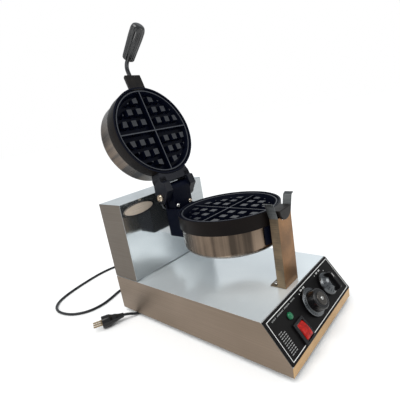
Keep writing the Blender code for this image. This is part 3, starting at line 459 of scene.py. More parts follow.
def plate(name, outlines, low, high, place, edge=0.0006):
    """A flat plate with rounded edges: the first outline, with the others as holes."""
    curve = bpy.data.curves.new(name, "CURVE")
    curve.dimensions = "2D"
    curve.fill_mode = "BOTH"
    curve.extrude = (high - low) / 2 - edge
    curve.bevel_depth = edge
    curve.bevel_resolution = 2
    curve.offset = -edge
    for outline in outlines:
        line = curve.splines.new("POLY")
        line.points.add(len(outline) - 1)
        for point, (u, v) in zip(line.points, outline):
            point.co = (u, v, 0.0, 1.0)
        line.use_cyclic_u = True
    helper = add(name, curve)
    bpy.context.view_layer.update()
    mesh = bpy.data.meshes.new_from_object(helper.evaluated_get(bpy.context.evaluated_depsgraph_get()))
    bpy.data.objects.remove(helper, do_unlink=True)
    mesh.transform(Matrix.Translation((0, 0, (low + high) / 2)))
    face_out(mesh, 0.000005)
    mesh.name = name
    piece = add(name, mesh, place)
    even = piece.modifiers.new("Even", "WEIGHTED_NORMAL")
    even.keep_sharp = True
    return smooth(piece)


def block(name, low, high, place, width):
    """A block with rounded edges."""
    bm = bmesh.new()
    middle = (Vector(low) + Vector(high)) / 2
    size = Vector(high) - Vector(low)
    bmesh.ops.create_cube(bm, size=1.0, matrix=Matrix.Translation(middle) @ Matrix.Diagonal((*size, 1.0)))
    mesh = bpy.data.meshes.new(name)
    bm.to_mesh(mesh)
    bm.free()
    return bevel(add(name, mesh, place), width)


def wire(name, points, radius, place=UP, sides=8):
    """A round wire along points."""
    curve = bpy.data.curves.new(name, "CURVE")
    curve.dimensions = "3D"
    curve.bevel_depth = radius
    curve.bevel_resolution = sides
    curve.use_fill_caps = True
    line = curve.splines.new("POLY")
    line.points.add(len(points) - 1)
    for point, spot in zip(line.points, points):
        point.co = (*spot, 1.0)
    line.use_smooth = True
    return add(name, curve, place)


def merged(name, pieces):
    """One piece from several that share a place, with their modifiers applied and materials kept."""
    bpy.context.view_layer.update()
    graph = bpy.context.evaluated_depsgraph_get()
    target = pieces[0].matrix_world.copy()
    bm = bmesh.new()
    skins = []
    for piece in pieces:
        mesh = bpy.data.meshes.new_from_object(piece.evaluated_get(graph))
        mesh.transform(target.inverted() @ piece.matrix_world)
        moved = []
        for skin in mesh.materials:
            if skin not in skins:
                skins.append(skin)
            moved.append(skins.index(skin))
        for face in mesh.polygons:
            face.material_index = moved[face.material_index] if moved else 0
        bm.from_mesh(mesh)
    mesh = bpy.data.meshes.new(name)
    bm.to_mesh(mesh)
    bm.free()
    for skin in skins:
        mesh.materials.append(skin)
    for piece in pieces:
        bpy.data.objects.remove(piece, do_unlink=True)
    return add(name, mesh, target)


def stand_for(piece, body, slot_name, *nodes):
    """Puts a piece on its body, in the place of CAD nodes."""
    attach(piece, body)
    if nodes:
        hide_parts(*nodes)
    return piece


# ---- camera and light

def make_camera():
    """The camera at the photograph's angle."""
    lens = bpy.data.cameras.new("camera")
    lens.lens = LENS
    lens.sensor_width = SENSOR
    lens.clip_start = 0.01
    turn = Matrix(CAMERA_AXES).transposed().to_4x4()
    bpy.context.scene.camera = add("camera", lens, move_to(CAMERA_PLACE, turn))


def area_light(name, place, target, size, power, colour):
    """A soft rectangular light that faces a target."""
    light = bpy.data.lights.new(name, "AREA")
    light.shape = "RECTANGLE"
    light.size, light.size_y = size
    light.energy = power
    light.color = colour
    lamp = add(name, light, move_to(place, facing(Vector(place) - Vector(target))))
    lamp.visible_camera = False


def make_light():
    """An even sky that looks white behind the object, and soft light from above and from three sides."""
    world = bpy.data.worlds.new("studio")
    world.use_nodes = True
    tree = world.node_tree
    sky = feed(tree, tree.nodes["Background"], Color=(0.93, 0.97, 1.0, 1.0), Strength=0.62)
    backdrop = node(tree, "Background", Color=(1.0, 1.0, 1.0, 1.0))
    choice = node(tree, "MixShader", Fac=node(tree, "LightPath").outputs["Is Camera Ray"])
    tree.links.new(sky.outputs["Background"], choice.inputs[1])
    tree.links.new(backdrop.outputs["Background"], choice.inputs[2])
    feed(tree, tree.nodes["World Output"], Surface=choice.outputs["Shader"])
    bpy.context.scene.world = world
    bpy.context.scene.view_settings.view_transform = "Standard"
    sun = bpy.data.lights.new("high_light", "SUN")
    sun.energy = 1.9
    sun.angle = radians(50)
    sun.color = (1.0, 0.99, 0.97)
    add("high_light", sun, facing((-0.45, -0.1, 1.0)))
    area_light("side_light", (-1.7, 1.3, 1.3), (0.0, 0.0, 0.25), (0.5, 1.3), 7.0, (1.0, 0.98, 0.95))
    area_light("front_light", (0.9, -1.6, 1.0), (0.0, 0.0, 0.2), (0.8, 0.8), 5.0, (1.0, 0.98, 0.96))
    area_light("back_card", (3.2, 3.0, 1.5), (0.0, 0.0, 0.2), (3.6, 2.6), 8.0, (0.97, 0.99, 1.0))


def make_floor():
    """A wide pale floor."""
    outline = rectangle((-FLOOR_HALF, -FLOOR_HALF), (FLOOR_HALF, FLOOR_HALF))
    floor = mesh_piece("floor", [(x, y, 0.0) for x, y in outline], [(0, 1, 2, 3)], UP)
    dress(floor, "floor")


# ---- mains lead

def smooth_route(points):
    """Places on a smooth curve through the points, about 4 mm apart."""
    dense = []
    last = len(points) - 1
    for index in range(last):
        before = points[max(index - 1, 0)]
        here = points[index]
        after = points[index + 1]
        beyond = points[min(index + 2, last)]
        count = max(2, round((after - here).length / 0.004))
        for step in range(count):
            t = step / count
            square = (2 * before - 5 * here + 4 * after - beyond) * t * t
            cube = (3 * here - before - 3 * after + beyond) * t ** 3
            dense.append(0.5 * (2 * here + (after - before) * t + square + cube))
    dense.append(points[last])
    return dense


def coil_turns():
    """Three turns of the lead: an outer and an inner one on the floor, and one lying on both."""
    places = []
    per_turn = 20
    for step in range(3 * per_turn + 1):
        turn = step / per_turn
        inner = min(max((turn - 0.75) / 0.5, 0.0), 1.0)
        rise = min(max((turn - 1.75) / 0.5, 0.0), 1.0)
        radius = OUTER_TURN - TURN_STEP_IN * inner + TURN_STEP_OUT * rise
        across = EXIT_X + COIL_RADIUS - radius * cos(2 * pi * turn)
        setback = COIL_SETBACK + radius * sin(2 * pi * turn)
        places.append((across, setback, CORD_LIE + TURN_STEP_UP * rise))
    return places


def lead_route():
    """The whole lead from inside the strain relief to inside the plug, as (x, setback, height)."""
    down = [(EXIT_X, 0.43, EXIT_HEIGHT), (EXIT_X, 0.4445, EXIT_HEIGHT), (EXIT_X, 0.4583, 0.045),
        (EXIT_X, 0.47, 0.044), (EXIT_X, 0.484, 0.0375), (0.0595, 0.497, 0.0265), (0.0585, 0.51, 0.014),
        (0.0575, 0.522, 0.006), (0.057, 0.5345, CORD_LIE), (0.0568, 0.548, CORD_LIE)]
    off_coil = [(EXIT_X, 0.571, 0.009), (EXIT_X, 0.583, 0.0076), (EXIT_X, 0.594, 0.005)]
    lying = [(0.0585, 0.604), (0.054, 0.622), (0.042, 0.643), (0.025, 0.659), (0.005, 0.668), (-0.023, 0.672),
        (-0.052, 0.671), (-0.09, 0.665), (-0.126, 0.657), (-0.161, 0.646), (-0.19, 0.63), (-0.208, 0.607),
        (-0.214, 0.577), (-0.207, 0.543), (-0.191, 0.519), (-0.168, 0.504), (-0.139, 0.5), (-0.11, 0.506),
        (-0.077, 0.516), (-0.044, 0.516), (-0.016, 0.502), (-0.001, 0.478), (-0.004, 0.449), (-0.021, 0.422),
        (-0.044, 0.399), (-0.072, 0.383)]
    rising = [(-0.098, 0.3765, 0.0034), (-0.116, 0.3778, 0.004), (-0.128, 0.3821, 0.0062),
        (-0.139, 0.3871, 0.0108), (*PLUG_PLACE, PLUG_HEIGHT), (-0.1567, 0.3957, PLUG_HEIGHT)]
    return down + coil_turns() + off_coil + [(x, s, CORD_LIE) for x, s in lying] + rising


def make_lead():
    """The lead with its strain relief, its tie, and the plug with three pins."""
    points = smooth_route([at(*place) for place in lead_route()])
    lead = dress(wire("mains_lead", points, CORD_RADIUS, sides=4), "cord")
    profile = [(0.0032, RELIEF_LENGTH), (0.0042, RELIEF_LENGTH)]
    for index in range(6):
        start = RELIEF_LENGTH - 0.0035 - 0.0037 * index
        reach = 0.0044 + 0.0003 * index
        profile += [(reach, start + 0.001), (reach - 0.0007, start + 0.0006),
            (reach - 0.0007, start - 0.0006), (reach + 0.0002, start - 0.001)]
    profile += [(0.0062, 0.0062), (0.0085, 0.0048), (0.0097, 0.0042), (0.01, 0.0036), (0.01, GAP),
        (0.0032, GAP)]
    place = move_to(at(EXIT_X, BASE_LENGTH, EXIT_HEIGHT), BACKWARD)
    relief = turned("lead_relief", profile, place, 48, ring=True)
    stand_for(dress(relief, "rubber"), "machine", "rubber", "strain_relief")

    centre = at(EXIT_X + 2 * COIL_RADIUS, COIL_SETBACK, 0.0072)
    loop = rounded(rectangle((-0.0072, -0.0058), (0.0072, 0.0072)), 0.004, 5)
    band = [centre + Vector((u, 0.0, v)) for u, v in loop]
    tie = dress(wire("lead_tie", band + band[:1], 0.0009), "gloss")
    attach(tie, "machine")

    heading = Vector((-0.899, 0.438, 0.0)).normalized()
    place = move_to(at(*PLUG_PLACE, PLUG_HEIGHT), facing(heading))
    length = PLUG_LENGTH
    side = [(0.01, length), (0.013, length), (0.013, length - 0.017), (0.0098, length - 0.022),
        (0.0092, length - 0.029), (0.0065, length - 0.036), (0.0048, 0.0006)]
    profile = [(0.0, length), *rounded(side, 0.003, 4, closed=False), (0.003, 0.0006)]

    def grips(turn, radius, height):
        """Shallow finger grips along the body."""
        if not 0.012 < height < length - 0.014:
            return radius
        return radius - 0.0006 * (0.5 + 0.5 * cos(10 * turn)) * min(1.0, (height - 0.012) / 0.006)

    body = dress(turned("plug_moulding", profile, place, 80, shape=grips), "gloss")
    stand_for(body, "machine", "black", "plug_body")
    for index, spread in enumerate((-PIN_PITCH, 0.0, PIN_PITCH)):
        start = length - 0.0002
        outline = [(0.0, start + 0.0193), (0.0008, start + 0.0193), (0.0015, start + 0.0185),
            (0.0018, start + 0.0172), (0.0018, start + 0.003), (0.0022, start + 0.0026), (0.0022, start)]
        pin = turned(f"pin_{index + 1}", outline, place @ Matrix.Translation((spread, 0.0, 0.0)), 32)
        stand_for(dress(pin, "gold"), "machine", "brass", f"plug_pin_{index + 1}")

    stand_for(lead, "machine", "rubber", "cord_from_base", "cord_coil", "cord_to_plug")


# ---- base and tower

def folded_sheet(name, corners, faces, names, picks):
    """An open folded sheet with inside thickness and rounded folds; picks gives each face's material."""
    piece = dress(mesh_piece(name, corners, faces, UP), *names)
    for face, pick in zip(piece.data.polygons, picks):
        face.material_index = pick
    face_out(piece.data)
    wall = piece.modifiers.new("Wall", "SOLIDIFY")
    wall.thickness = SHEET
    wall.offset = -1.0
    wall.use_even_offset = True
    return bevel(piece, 0.0011)


def make_base():
    """Folded base with its sloped front, and its four feet."""
    side = [(0.0, FOOT_HEIGHT), (BASE_LENGTH, FOOT_HEIGHT), (BASE_LENGTH, DECK_HEIGHT),
        (PANEL_RUN, DECK_HEIGHT), (0.0, LIP_HEIGHT)]
    half = BASE_WIDTH / 2
    corners = [at(x, setback, height) for x in (-half, half) for setback, height in side]
    faces = [(0, 1, 2, 3, 4), (9, 8, 7, 6, 5), (1, 6, 7, 2), (2, 7, 8, 3), (3, 8, 9, 4), (4, 9, 5, 0)]
    # The picks give each face of the one sheet its tinted copy: painted light on the deck, painted shade and
    # reflection on the sides and lip, plain steel behind and under the panel.
    case = folded_sheet("base_case", corners, faces, ("deck_painted_light", "side", "lip_painted_reflection", "plain"), (1, 1, 3, 0, 3, 2))
    stand_for(case, "machine", "steel", "base_shell")

    for index, (x, setback) in enumerate([(x, s) for s in (0.04, 0.404) for x in (-0.095, 0.095)]):
        profile = rounded([(0.0, FOOT_HEIGHT), (0.0125, FOOT_HEIGHT), (0.0122, 0.0085), (0.011, 0.0012),
            (0.0098, 0.0), (0.0045, 0.0), (0.0042, 0.0025), (0.0, 0.0025)], 0.0008, 3, closed=False)
        foot = turned(f"rubber_foot_{index + 1}", profile, move_to(at(x, setback, 0.0)), 64)
        stand_for(dress(foot, "rubber"), "machine", "rubber", f"foot_{index + 1}")


def screw_head(name, radius, height, place, skin):
    """A domed screw head with a cross recess."""
    profile = [(0.0, height), (radius * 0.35, height), (radius * 0.75, height * 0.82),
        (radius * 0.96, height * 0.35), (radius, 0.0), (radius * 0.5, 0.0), (radius * 0.5, -0.004),
        (0.0, -0.004)]
    head = dress(turned(name, rounded(profile, 0.0004, 3, closed=False), place, 48), skin)
    reach, half = radius * 0.55, radius * 0.11
    low, high = (-reach, -half, height * 0.45), (reach, half, height + 0.001)
    for turn in (pi / 4, 3 * pi / 4):
        cutter = block(name + "_slot", low, high, place @ Matrix.Rotation(turn, 4, "Z"), 0.0)
        cutter.modifiers.clear()
        carve(head, cutter, "Slot", "DIFFERENCE")
    return head


def make_screws(name, node_name, body, radius, height, places, skins=("chrome", "chrome")):
    """Numbered screws, each on its body and in the place of its CAD node."""
    for index, (place, skin) in enumerate(zip(places, skins), 1):
        screw = screw_head(f"{name}_{index}", radius, height, place, skin)
        stand_for(screw, body, "steel", f"{node_name}_{index}")


def make_tower():
    """Tower case, its louvred cover with screws, the blank badge, and the flange round the spindle."""
    half = BASE_WIDTH / 2
    front = BASE_LENGTH - TOWER_DEPTH
    bottom = DECK_HEIGHT + 0.0014
    side = rectangle((front, bottom), (BASE_LENGTH, TOWER_HEIGHT))
    corners = [at(x, setback, height) for x in (-half, half) for setback, height in side]
    faces = [(0, 1, 2, 3), (7, 6, 5, 4), (2, 6, 7, 3), (3, 7, 4, 0)]
    # The picks give the tower's sides their painted shade and reflection, and its top its painted light.
    case = folded_sheet("tower_case", corners, faces, ("tower", "wall", "top"), (1, 1, 2, 0))
    stand_for(case, "machine", "steel", "tower_shell")

    slots = []
    for row in range(5):
        height = 0.13 + 0.018 * row
        for x in (-0.06, 0.01):
            slots.append(rounded(rectangle((x, height), (x + 0.05, height + 0.006)), 0.0028, 5))
    edge = rounded(rectangle((-half + 0.001, DECK_HEIGHT + 0.0013), (half - 0.001, TOWER_HEIGHT - 0.001)),
        0.004, 5)
    rear = BASE_LENGTH + GAP
    cover = plate("louvred_cover", [edge, *slots], -rear - SHEET - FRONT, -rear - FRONT, FORWARD, 0.0003)
    stand_for(dress(cover, "plain"), "machine", "steel", "tower_back_cover")
    places = [move_to(at(x, BASE_LENGTH + SHEET + 0.0004, 0.175), BACKWARD) for x in (-0.112, 0.112)]
    make_screws("cover_head", "cover_screw", "machine", 0.0036, 0.0022, places)

    def oval(scale):
        """An oval outline, smaller than the badge by a scale of its height."""
        inset = BADGE_HALF[1] * (1.0 - scale)
        turns = [2 * pi * step / 72 for step in range(72)]
        return [((BADGE_HALF[0] - inset) * cos(a), (BADGE_HALF[1] - inset) * sin(a)) for a in turns]

    place = move_to(at(-0.08, front, 0.2415), FORWARD)
    badge = dress(plate("badge_face", [oval(1.0)], 0.0002, 0.0011, place, 0.0004), "brass")
    rim = dress(plate("badge_rim", [oval(1.0), oval(0.9)], 0.001, 0.0015, place, 0.0002), "dark")
    stand_for(merged("blank_badge", [badge, rim]), "machine", "brass", "badge_plate")

    profile = [(0.0113, 0.0), (0.0113, 0.0046), (0.0165, 0.0046), (0.0185, 0.0026), (0.0188, 0.0)]
    place = move_to(at(0.0, front + 0.0002, PARTING_HEIGHT), FORWARD)
    flange = turned("sleeve_flange", rounded(profile, 0.0008, 3), place, 64, ring=True)
    stand_for(dress(flange, "dark"), "machine", "dark_steel")


def sheet_line(line, thickness, side):
    """The outline of a folded sheet along (across, height) points, mirrored by its side."""
    left = []
    right = []
    for index, (u, v) in enumerate(line):
        before = line[max(index - 1, 0)]
        after = line[min(index + 1, len(line) - 1)]
        first = Vector((u - before[0], v - before[1]))
        second = Vector((after[0] - u, after[1] - v))
        first = first.normalized() if first.length else second.normalized()
        second = second.normalized() if second.length else first
        mean = (first + second).normalized()
        reach = thickness / 2 / max(mean.dot(first), 0.5)
        left.append((side * (u - mean.y * reach), v + mean.x * reach))
        right.append((side * (u + mean.y * reach), v - mean.x * reach))
    return left + right[::-1]


def make_post():
    """Front post: folded channel with a round saddle, flared guide wings, foot plate and screws."""
    half = POST_WIDTH / 2
    bottom = DECK_HEIGHT + GAP
    saddle = JOURNAL_RADIUS + GAP
    reach = PARTING_HEIGHT - POST_TOP
    turn = atan2(-reach, sqrt(saddle * saddle - reach * reach)) * 180 / pi
    notch = arc((0.0, PARTING_HEIGHT), saddle, turn, -180.0 - turn, 32)
    edge = half - 0.0004
    web = [(-edge, bottom), (edge, bottom), (edge, POST_TOP), *notch, (-edge, POST_TOP)]
    face = -POST_SETBACK - FRONT
    # The front web wears the orange-brown painted reflection.
    pieces = [dress(plate("post_front", [web], face - POST_SHEET, face, FORWARD, 0.0003), "post")]
    middle = half - POST_SHEET / 2
    fold = [(middle, bottom), (middle, POST_TOP - 0.002), (0.033, 0.2475), (0.04, 0.25)]
    fold = rounded(fold, 0.006, 6, closed=False)
    for side in (-1, 1):
        outline = sheet_line(fold, POST_SHEET, side)
        flange = plate(f"post_side_{side}", [outline], face - POST_DEPTH, face - 0.0001, FORWARD, 0.0004)
        # Flanges and the wings above the post top get their darker copies, painted shade and reflection.
        dress(flange, "flange", "wing")
        for part in flange.data.polygons:
            part.material_index = 1 if part.center.y > POST_TOP - 0.001 else 0
        pieces.append(flange)
    low, high = at(-half, POST_SETBACK + 0.0006, bottom), at(half, POST_SETBACK + 0.031, bottom + POST_SHEET)
    pieces.append(dress(block("post_sole", low, high, UP, 0.0004), "flange"))
    stand_for(merged("cradle_post", pieces), "machine", "steel", "front_post")
    places = [move_to(at(x, POST_SETBACK + 0.0235, bottom + POST_SHEET + 0.0001)) for x in (-0.014, 0.014)]
    make_screws("post_head", "post_screw", "machine", 0.0042, 0.0026, places)


# ---- controls

def on_panel(place):
    """The panel's frame at one control."""
    return PANEL @ Matrix.Translation((*place, 0.0))


def lifted(profile, height=PANEL_FACE):
    """A profile raised above the panel."""
    return [(across, height + up) for across, up in profile]


def radial_marks(name, place, count, start, sweep, half, ends):
    """Tick marks round a knob; ends gives a mark's (radius, height) at its inner and outer end."""
    corners = []
    for index in range(count):
        turn = radians(start + sweep * index / (count - 1))
        inner, outer = ends(index)
        for (radius, height), side in ((inner, -half), (outer, -half), (outer, half), (inner, half)):
            x, y = radius * cos(turn) - side * sin(turn), radius * sin(turn) + side * cos(turn)
            corners.append((x, y, height))
    faces = [tuple(range(4 * index, 4 * index + 4)) for index in range(count)]
    return dress(mesh_piece(name, corners, faces, place), "satin")


def strip(low, high):
    """The corners of a printed bar on the panel."""
    return [(u, v, PRINT_FACE) for u, v in rectangle(low, high)]


def make_print():
    """Border line and plain marks on the panel."""
    length = hypot(PANEL_RUN, DECK_HEIGHT - LIP_HEIGHT)
    left, right, low, high = -0.1195, 0.1195, 0.0052, length - 0.0052
    line = 0.0011
    pitch = 0.0021
    dull = []
    bars = [strip((left, low), (right, low + line)), strip((left, high - line), (right, high)),
        strip((left, low), (left + line, high)), strip((right - line, low), (right, high))]
    for row in range(10):
        height = 0.012 + 0.0038 * row
        for column, (start, width) in enumerate(((-0.112, 0.005), (-0.1055, 0.0034), (-0.1005, 0.005))):
            if row + column < 11:
                dull.append(strip((start, height), (start + width, height + 0.0013)))
    for start, end in ((-0.108, -0.094), (-0.0915, -0.07), (-0.068, -0.048), (-0.0455, -0.029)):
        for index in range(int((end - start) / pitch)):
            x = start + pitch * index
            dull.append(strip((x, 0.0655), (x + 0.0012, 0.0655 + 0.0018 + 0.0006 * (index % 2))))
    for centre in (-0.006, 0.004, 0.062, 0.073):
        for index in range(3):
            x = centre + 0.0024 * (index - 1)
            bars.append(strip((x, 0.065), (x + 0.0014, 0.0678)))
    corners = []
    faces = []
    for bar in dull + bars:
        faces.append(tuple(range(len(corners), len(corners) + 4)))
        corners += bar
    for place, radius in (((-0.015, 0.064), 0.001), ((0.0525, 0.0655), 0.0009), ((0.0865, 0.06), 0.0009)):
        start = len(corners)
        corners += [(u, v, PRINT_FACE) for u, v in circle(place, radius, 16)]
        faces.append(tuple(range(start, start + 16)))
    marks = dress(mesh_piece("panel_print", corners, faces, PANEL), "print", "faint")
    for mark in marks.data.polygons[:len(dull)]:
        mark.material_index = 1
    stand_for(marks, "machine", "panel_black")


def make_switch():
    """Rocker switch in its tall bezel."""
    place = on_panel(SWITCH_PLACE)
    low, high = PANEL_FACE, PANEL_FACE + 0.0042
    outer = rounded(rectangle((-0.0165, -0.019), (0.0145, 0.019)), 0.0018, 4)
    inner = rounded(rectangle((-0.0101, -0.0148), (0.0101, 0.0148)), 0.0008, 3)
    rim = plate("bezel_rim", [outer, inner], low, high, place, 0.0009)
    wall = [rectangle((-0.0115, -0.0162), (0.0115, 0.0162)), inner]
    barrel = plate("bezel_wall", wall, -0.02, low + 0.0004, place, 0.0002)
    floor = block("bezel_floor", (-0.011, -0.0156, -0.0085), (0.011, 0.0156, -0.006), place, 0.0003)
    bezel = merged("switch_bezel", [dress(piece, "gloss") for piece in (rim, barrel, floor)])
    stand_for(bezel, "machine", "black", "switch_housing")
    half = 0.013
    crown = arc((0.0, -0.0266), 0.0346, 68.0, 112.0, 16)
    outline = rounded([(-half, -0.002), (0.0, -0.0045), (half, -0.002), *crown], 0.0012, 4)
    tilted = place @ Matrix.Translation((0, 0, 0.001)) @ Matrix.Rotation(-ROCKER_TILT, 4, "X") @ SIDE_VIEW
    rocker = dress(plate("rocker_cap", [outline], -0.0097, 0.0097, tilted, 0.002), "red")
    stand_for(rocker, "rocker", "red", "switch_rocker")


def make_lamp():
    """Pilot lamp with a thin bezel and a ribbed dome."""
    place = on_panel(LAMP_PLACE)
    edge = lifted([(0.0, 0.0008), (0.0062, 0.0008), (0.0066, 0.0004), (0.0066, 0.0), (0.0049, 0.0)])
    ring = rounded([*edge, (0.0049, -0.018), (0.0, -0.018)], 0.0003, 3, closed=False)
    ring = dress(turned("lamp_ring", ring, place, 64), "satin")
    stand_for(ring, "machine", "dark_steel", "pilot_lamp_body")
    base = PANEL_FACE + 0.001
    turns = [pi / 2 * step / 16 for step in range(16, -1, -1)]
    dome = [(0.0062 * cos(a), base + 0.0004 + 0.0042 * sin(a)) for a in turns]
    dome[0] = (0.0, dome[0][1])

    def ribs(turn, radius, height):
        """Fine upright ribs inside the lens edge."""
        return radius * (1.0 - 0.02 * (0.5 + 0.5 * cos(16 * turn)))

    lens = turned("lamp_dome", [*dome, (0.0062, base), (0.0, base)], place, shape=ribs)
    stand_for(dress(lens, "green"), "machine", "green", "pilot_lamp_lens")


def make_knobs():
    """Thermostat knob with its scale skirt and cap, and the timer knob with its pointer bar."""
    under = PANEL_FACE + KNOB_LIFT
    place = on_panel(THERMOSTAT_PLACE)
    top = lifted([(0.0, 0.0235), (0.0165, 0.0235), (0.018, 0.0218)])
    skirt = [(0.0191, 0.0036), (0.0247, 0.0024), (0.0253, 0.0012), (0.0253, 0.0), (0.0033, 0.0)]
    bore = lifted([(0.0033, 0.0193), (0.0, 0.0193)])
    profile = rounded(top + lifted(skirt, under) + bore, 0.001, 4, closed=False)
    knob = dress(turned("thermostat_grip", profile, place, 128), "gloss", "skirt")
    for part in knob.data.polygons:
        wide = hypot(part.center.x, part.center.y) > 0.0194
        part.material_index = 1 if wide and under + 0.0008 < part.center.z < under + 0.0042 else 0
    stand_for(knob, "thermostat_dial", "black", "thermostat_knob")

    def skirt_mark(index):
        """A mark down the cone of the skirt, with every third one longer."""
        radii = (0.0214 if index % 3 else 0.0203, 0.0238)
        return [(radius, under + 0.0036 - (radius - 0.0191) * 0.214 + 0.00012) for radius in radii]

    scale = radial_marks("thermostat_scale", place, 28, -50, 280, 0.00028, skirt_mark)
    stand_for(scale, "thermostat_dial", "panel_black")
    cap = lifted([(0.0, 0.0246), (0.003, 0.0246), (0.0036, 0.025), (0.0106, 0.025), (0.0115, 0.0243),
        (0.0116, 0.0234), (0.0, 0.0234)])
    cap = turned("thermostat_top", rounded(cap, 0.0004, 3, closed=False), place)
    stand_for(dress(cap, "umber"), "thermostat_dial", "steel", "thermostat_cap")
    dot = lifted([(0.0, 0.0252), (0.0026, 0.0251), (0.0033, 0.0244), (0.0, 0.0244)])
    dot = dress(turned("thermostat_dot", dot, place, 48), "chrome")
    stand_for(dot, "thermostat_dial", "steel")

    place = on_panel(TIMER_PLACE)
    top = lifted([(0.0, 0.017), (0.0105, 0.0165), (0.013, 0.013), (0.0195, 0.0085)])
    skirt = lifted([(0.0215, 0.002), (0.0218, 0.001), (0.0218, 0.0), (0.0033, 0.0)], under)
    bore = lifted([(0.0033, 0.012), (0.0, 0.012)])
    profile = rounded(top + skirt + bore, 0.0012, 4, closed=False)
    cone = dress(turned("timer_cone", profile, place, 128), "skirt")
    ends = lifted([(0.0146, 0.0122), (0.0192, 0.009)])
    marks = radial_marks("timer_scale", place, 16, -60, 300, 0.0003, lambda index: ends)
    side = lifted([(-0.018, 0.0085), (0.018, 0.0085), (0.0175, 0.0205), (0.015, 0.0245), (-0.015, 0.0245),
        (-0.0175, 0.0205)])
    bar = plate("timer_bar", [rounded(side, 0.002, 5)], -0.0036, 0.0036, place @ SIDE_VIEW, 0.0009)
    dress(bar, "satin")
    low, high = PANEL_FACE + 0.02435, PANEL_FACE + 0.02465
    mark = dress(block("timer_mark", (-0.0005, 0.006, low), (0.0005, 0.0134, high), place, 0.0001), "print")
    stand_for(merged("timer_grip", [cone, marks, bar, mark]), "timer_dial", "black", "timer_knob")


def make_controls():
    """Panel plate and everything on it."""
    length = hypot(PANEL_RUN, DECK_HEIGHT - LIP_HEIGHT)
    half = BASE_WIDTH / 2
    edge = rounded(rectangle((-half + 0.0012, 0.0012), (half - 0.0012, length - 0.0012)), 0.0012, 3)
    x, y = SWITCH_PLACE
    wide, tall = SWITCH_WINDOW[0] / 2, SWITCH_WINDOW[1] / 2
    window = rectangle((x - wide, y - tall), (x + wide, y + tall))
    holes = [circle(place, CONTROL_HOLE) for place in (THERMOSTAT_PLACE, TIMER_PLACE, LAMP_PLACE)]
    panel = plate("panel_plate", [edge, window, *holes], GAP, 0.0023, PANEL, 0.0003)
    stand_for(dress(panel, "panel"), "machine", "panel_black", "control_panel")
    make_print()
    make_switch()
    make_lamp()
    make_knobs()


# ---- plates

def stud_places():
    """Middles of the raised studs in each quarter."""
    places = []
    for across in range(4):
        for along in range(4 - across):
            u = STUD_START + STUD_PITCH * across
            v = STUD_START + STUD_PITCH * along
            if hypot(u, v) < RIDGE_RADIUS - 0.004:
                places += [(su * u, sv * v) for su in (-1, 1) for sv in (-1, 1)]
    return places


def make_casting(name, recess, place):
    """A plate casting with rim, ridge, cross ribs and tapered studs."""
    floor = -recess - STUD_DEPTH
    ridge = RIDGE_RADIUS
    profile = rounded([(0.0, floor), (ridge - 0.006, floor), (ridge - 0.0014, -0.0034),
        (ridge - 0.001, -0.0014), (ridge + 0.0012, -0.0014), (ridge + 0.0018, -0.0045),
        (ridge + 0.004, -0.0045), (ridge + 0.0046, 0.0), (PLATE_RADIUS, 0.0), (PLATE_RADIUS, -0.006),
        (PLATE_RADIUS, -CASTING_HEIGHT), (0.0, -CASTING_HEIGHT)], 0.0009, 3, closed=False)
    # Faces on the crest of the ridge get the lighter ridge material, a painted highlight.
    body = dress(turned(name + "_body", profile, place, 144), "cast", "rim", "ridge")
    for face in body.data.polygons:
        middle = face.center
        reach = hypot(middle.x, middle.y)
        if reach > PLATE_RADIUS - 0.001 and middle.z < -0.0005:
            face.material_index = 1
        elif ridge - 0.0012 < reach < ridge + 0.0013 and middle.z > -0.003:
            face.material_index = 2
    pieces = [body]
    bm = bmesh.new()
    for u, v in stud_places():
        spot = Matrix.Translation((u, v, floor - 0.001 + (STUD_DEPTH + 0.001) / 2))
        spot = spot @ Matrix.Rotation(pi / 4, 4, "Z")
        bmesh.ops.create_cone(bm, cap_ends=True, segments=4, radius1=(STUD_TOP + 0.004) / sqrt(2),
            radius2=STUD_TOP / sqrt(2), depth=STUD_DEPTH + 0.001, matrix=spot)
    mesh = bpy.data.meshes.new(name + "_studs")
    bmesh.ops.recalc_face_normals(bm, faces=bm.faces)
    bm.to_mesh(mesh)
    bm.free()
    studs = dress(add(name + "_studs", mesh, place), "cast", "stud_top_painted_highlight")
    # Stud tops get the lighter stud material, a painted highlight.
    for face in mesh.polygons:
        face.material_index = 1 if face.normal.z > 0.9 else 0
    profile = [(0.0, 0.01), (STUD_LIMIT, 0.01), (STUD_LIMIT, -0.05), (0.0, -0.05)]
    limit = turned(name + "_limit", profile, place)
    carve(studs, dress(limit, "cast"), "Limit", "INTERSECT")
    pieces.append(bevel(studs, 0.0011))
    reach = ridge - 0.0008
    low = floor - 0.001
    for index, turn in enumerate((0.0, pi / 2)):
        across = place @ Matrix.Rotation(turn, 4, "Z") @ FORWARD
        high = -recess - 0.0002 * index
        side = [(-RIB_HALF - 0.0006, low), (RIB_HALF + 0.0006, low), (RIB_HALF - 0.0003, high),
            (-RIB_HALF + 0.0003, high)]
        rib = plate(f"{name}_rib_{index}", [rounded(side, 0.0008, 3)], -reach, reach, across, 0.0003)
        dress(rib, "cast", "ridge")
        # Rib tops get the lighter ridge material, a painted highlight.
        for face in rib.data.polygons:
            if face.normal.y > 0.85:
                face.material_index = 1
        pieces.append(rib)
    return merged(name + "_grid", pieces)


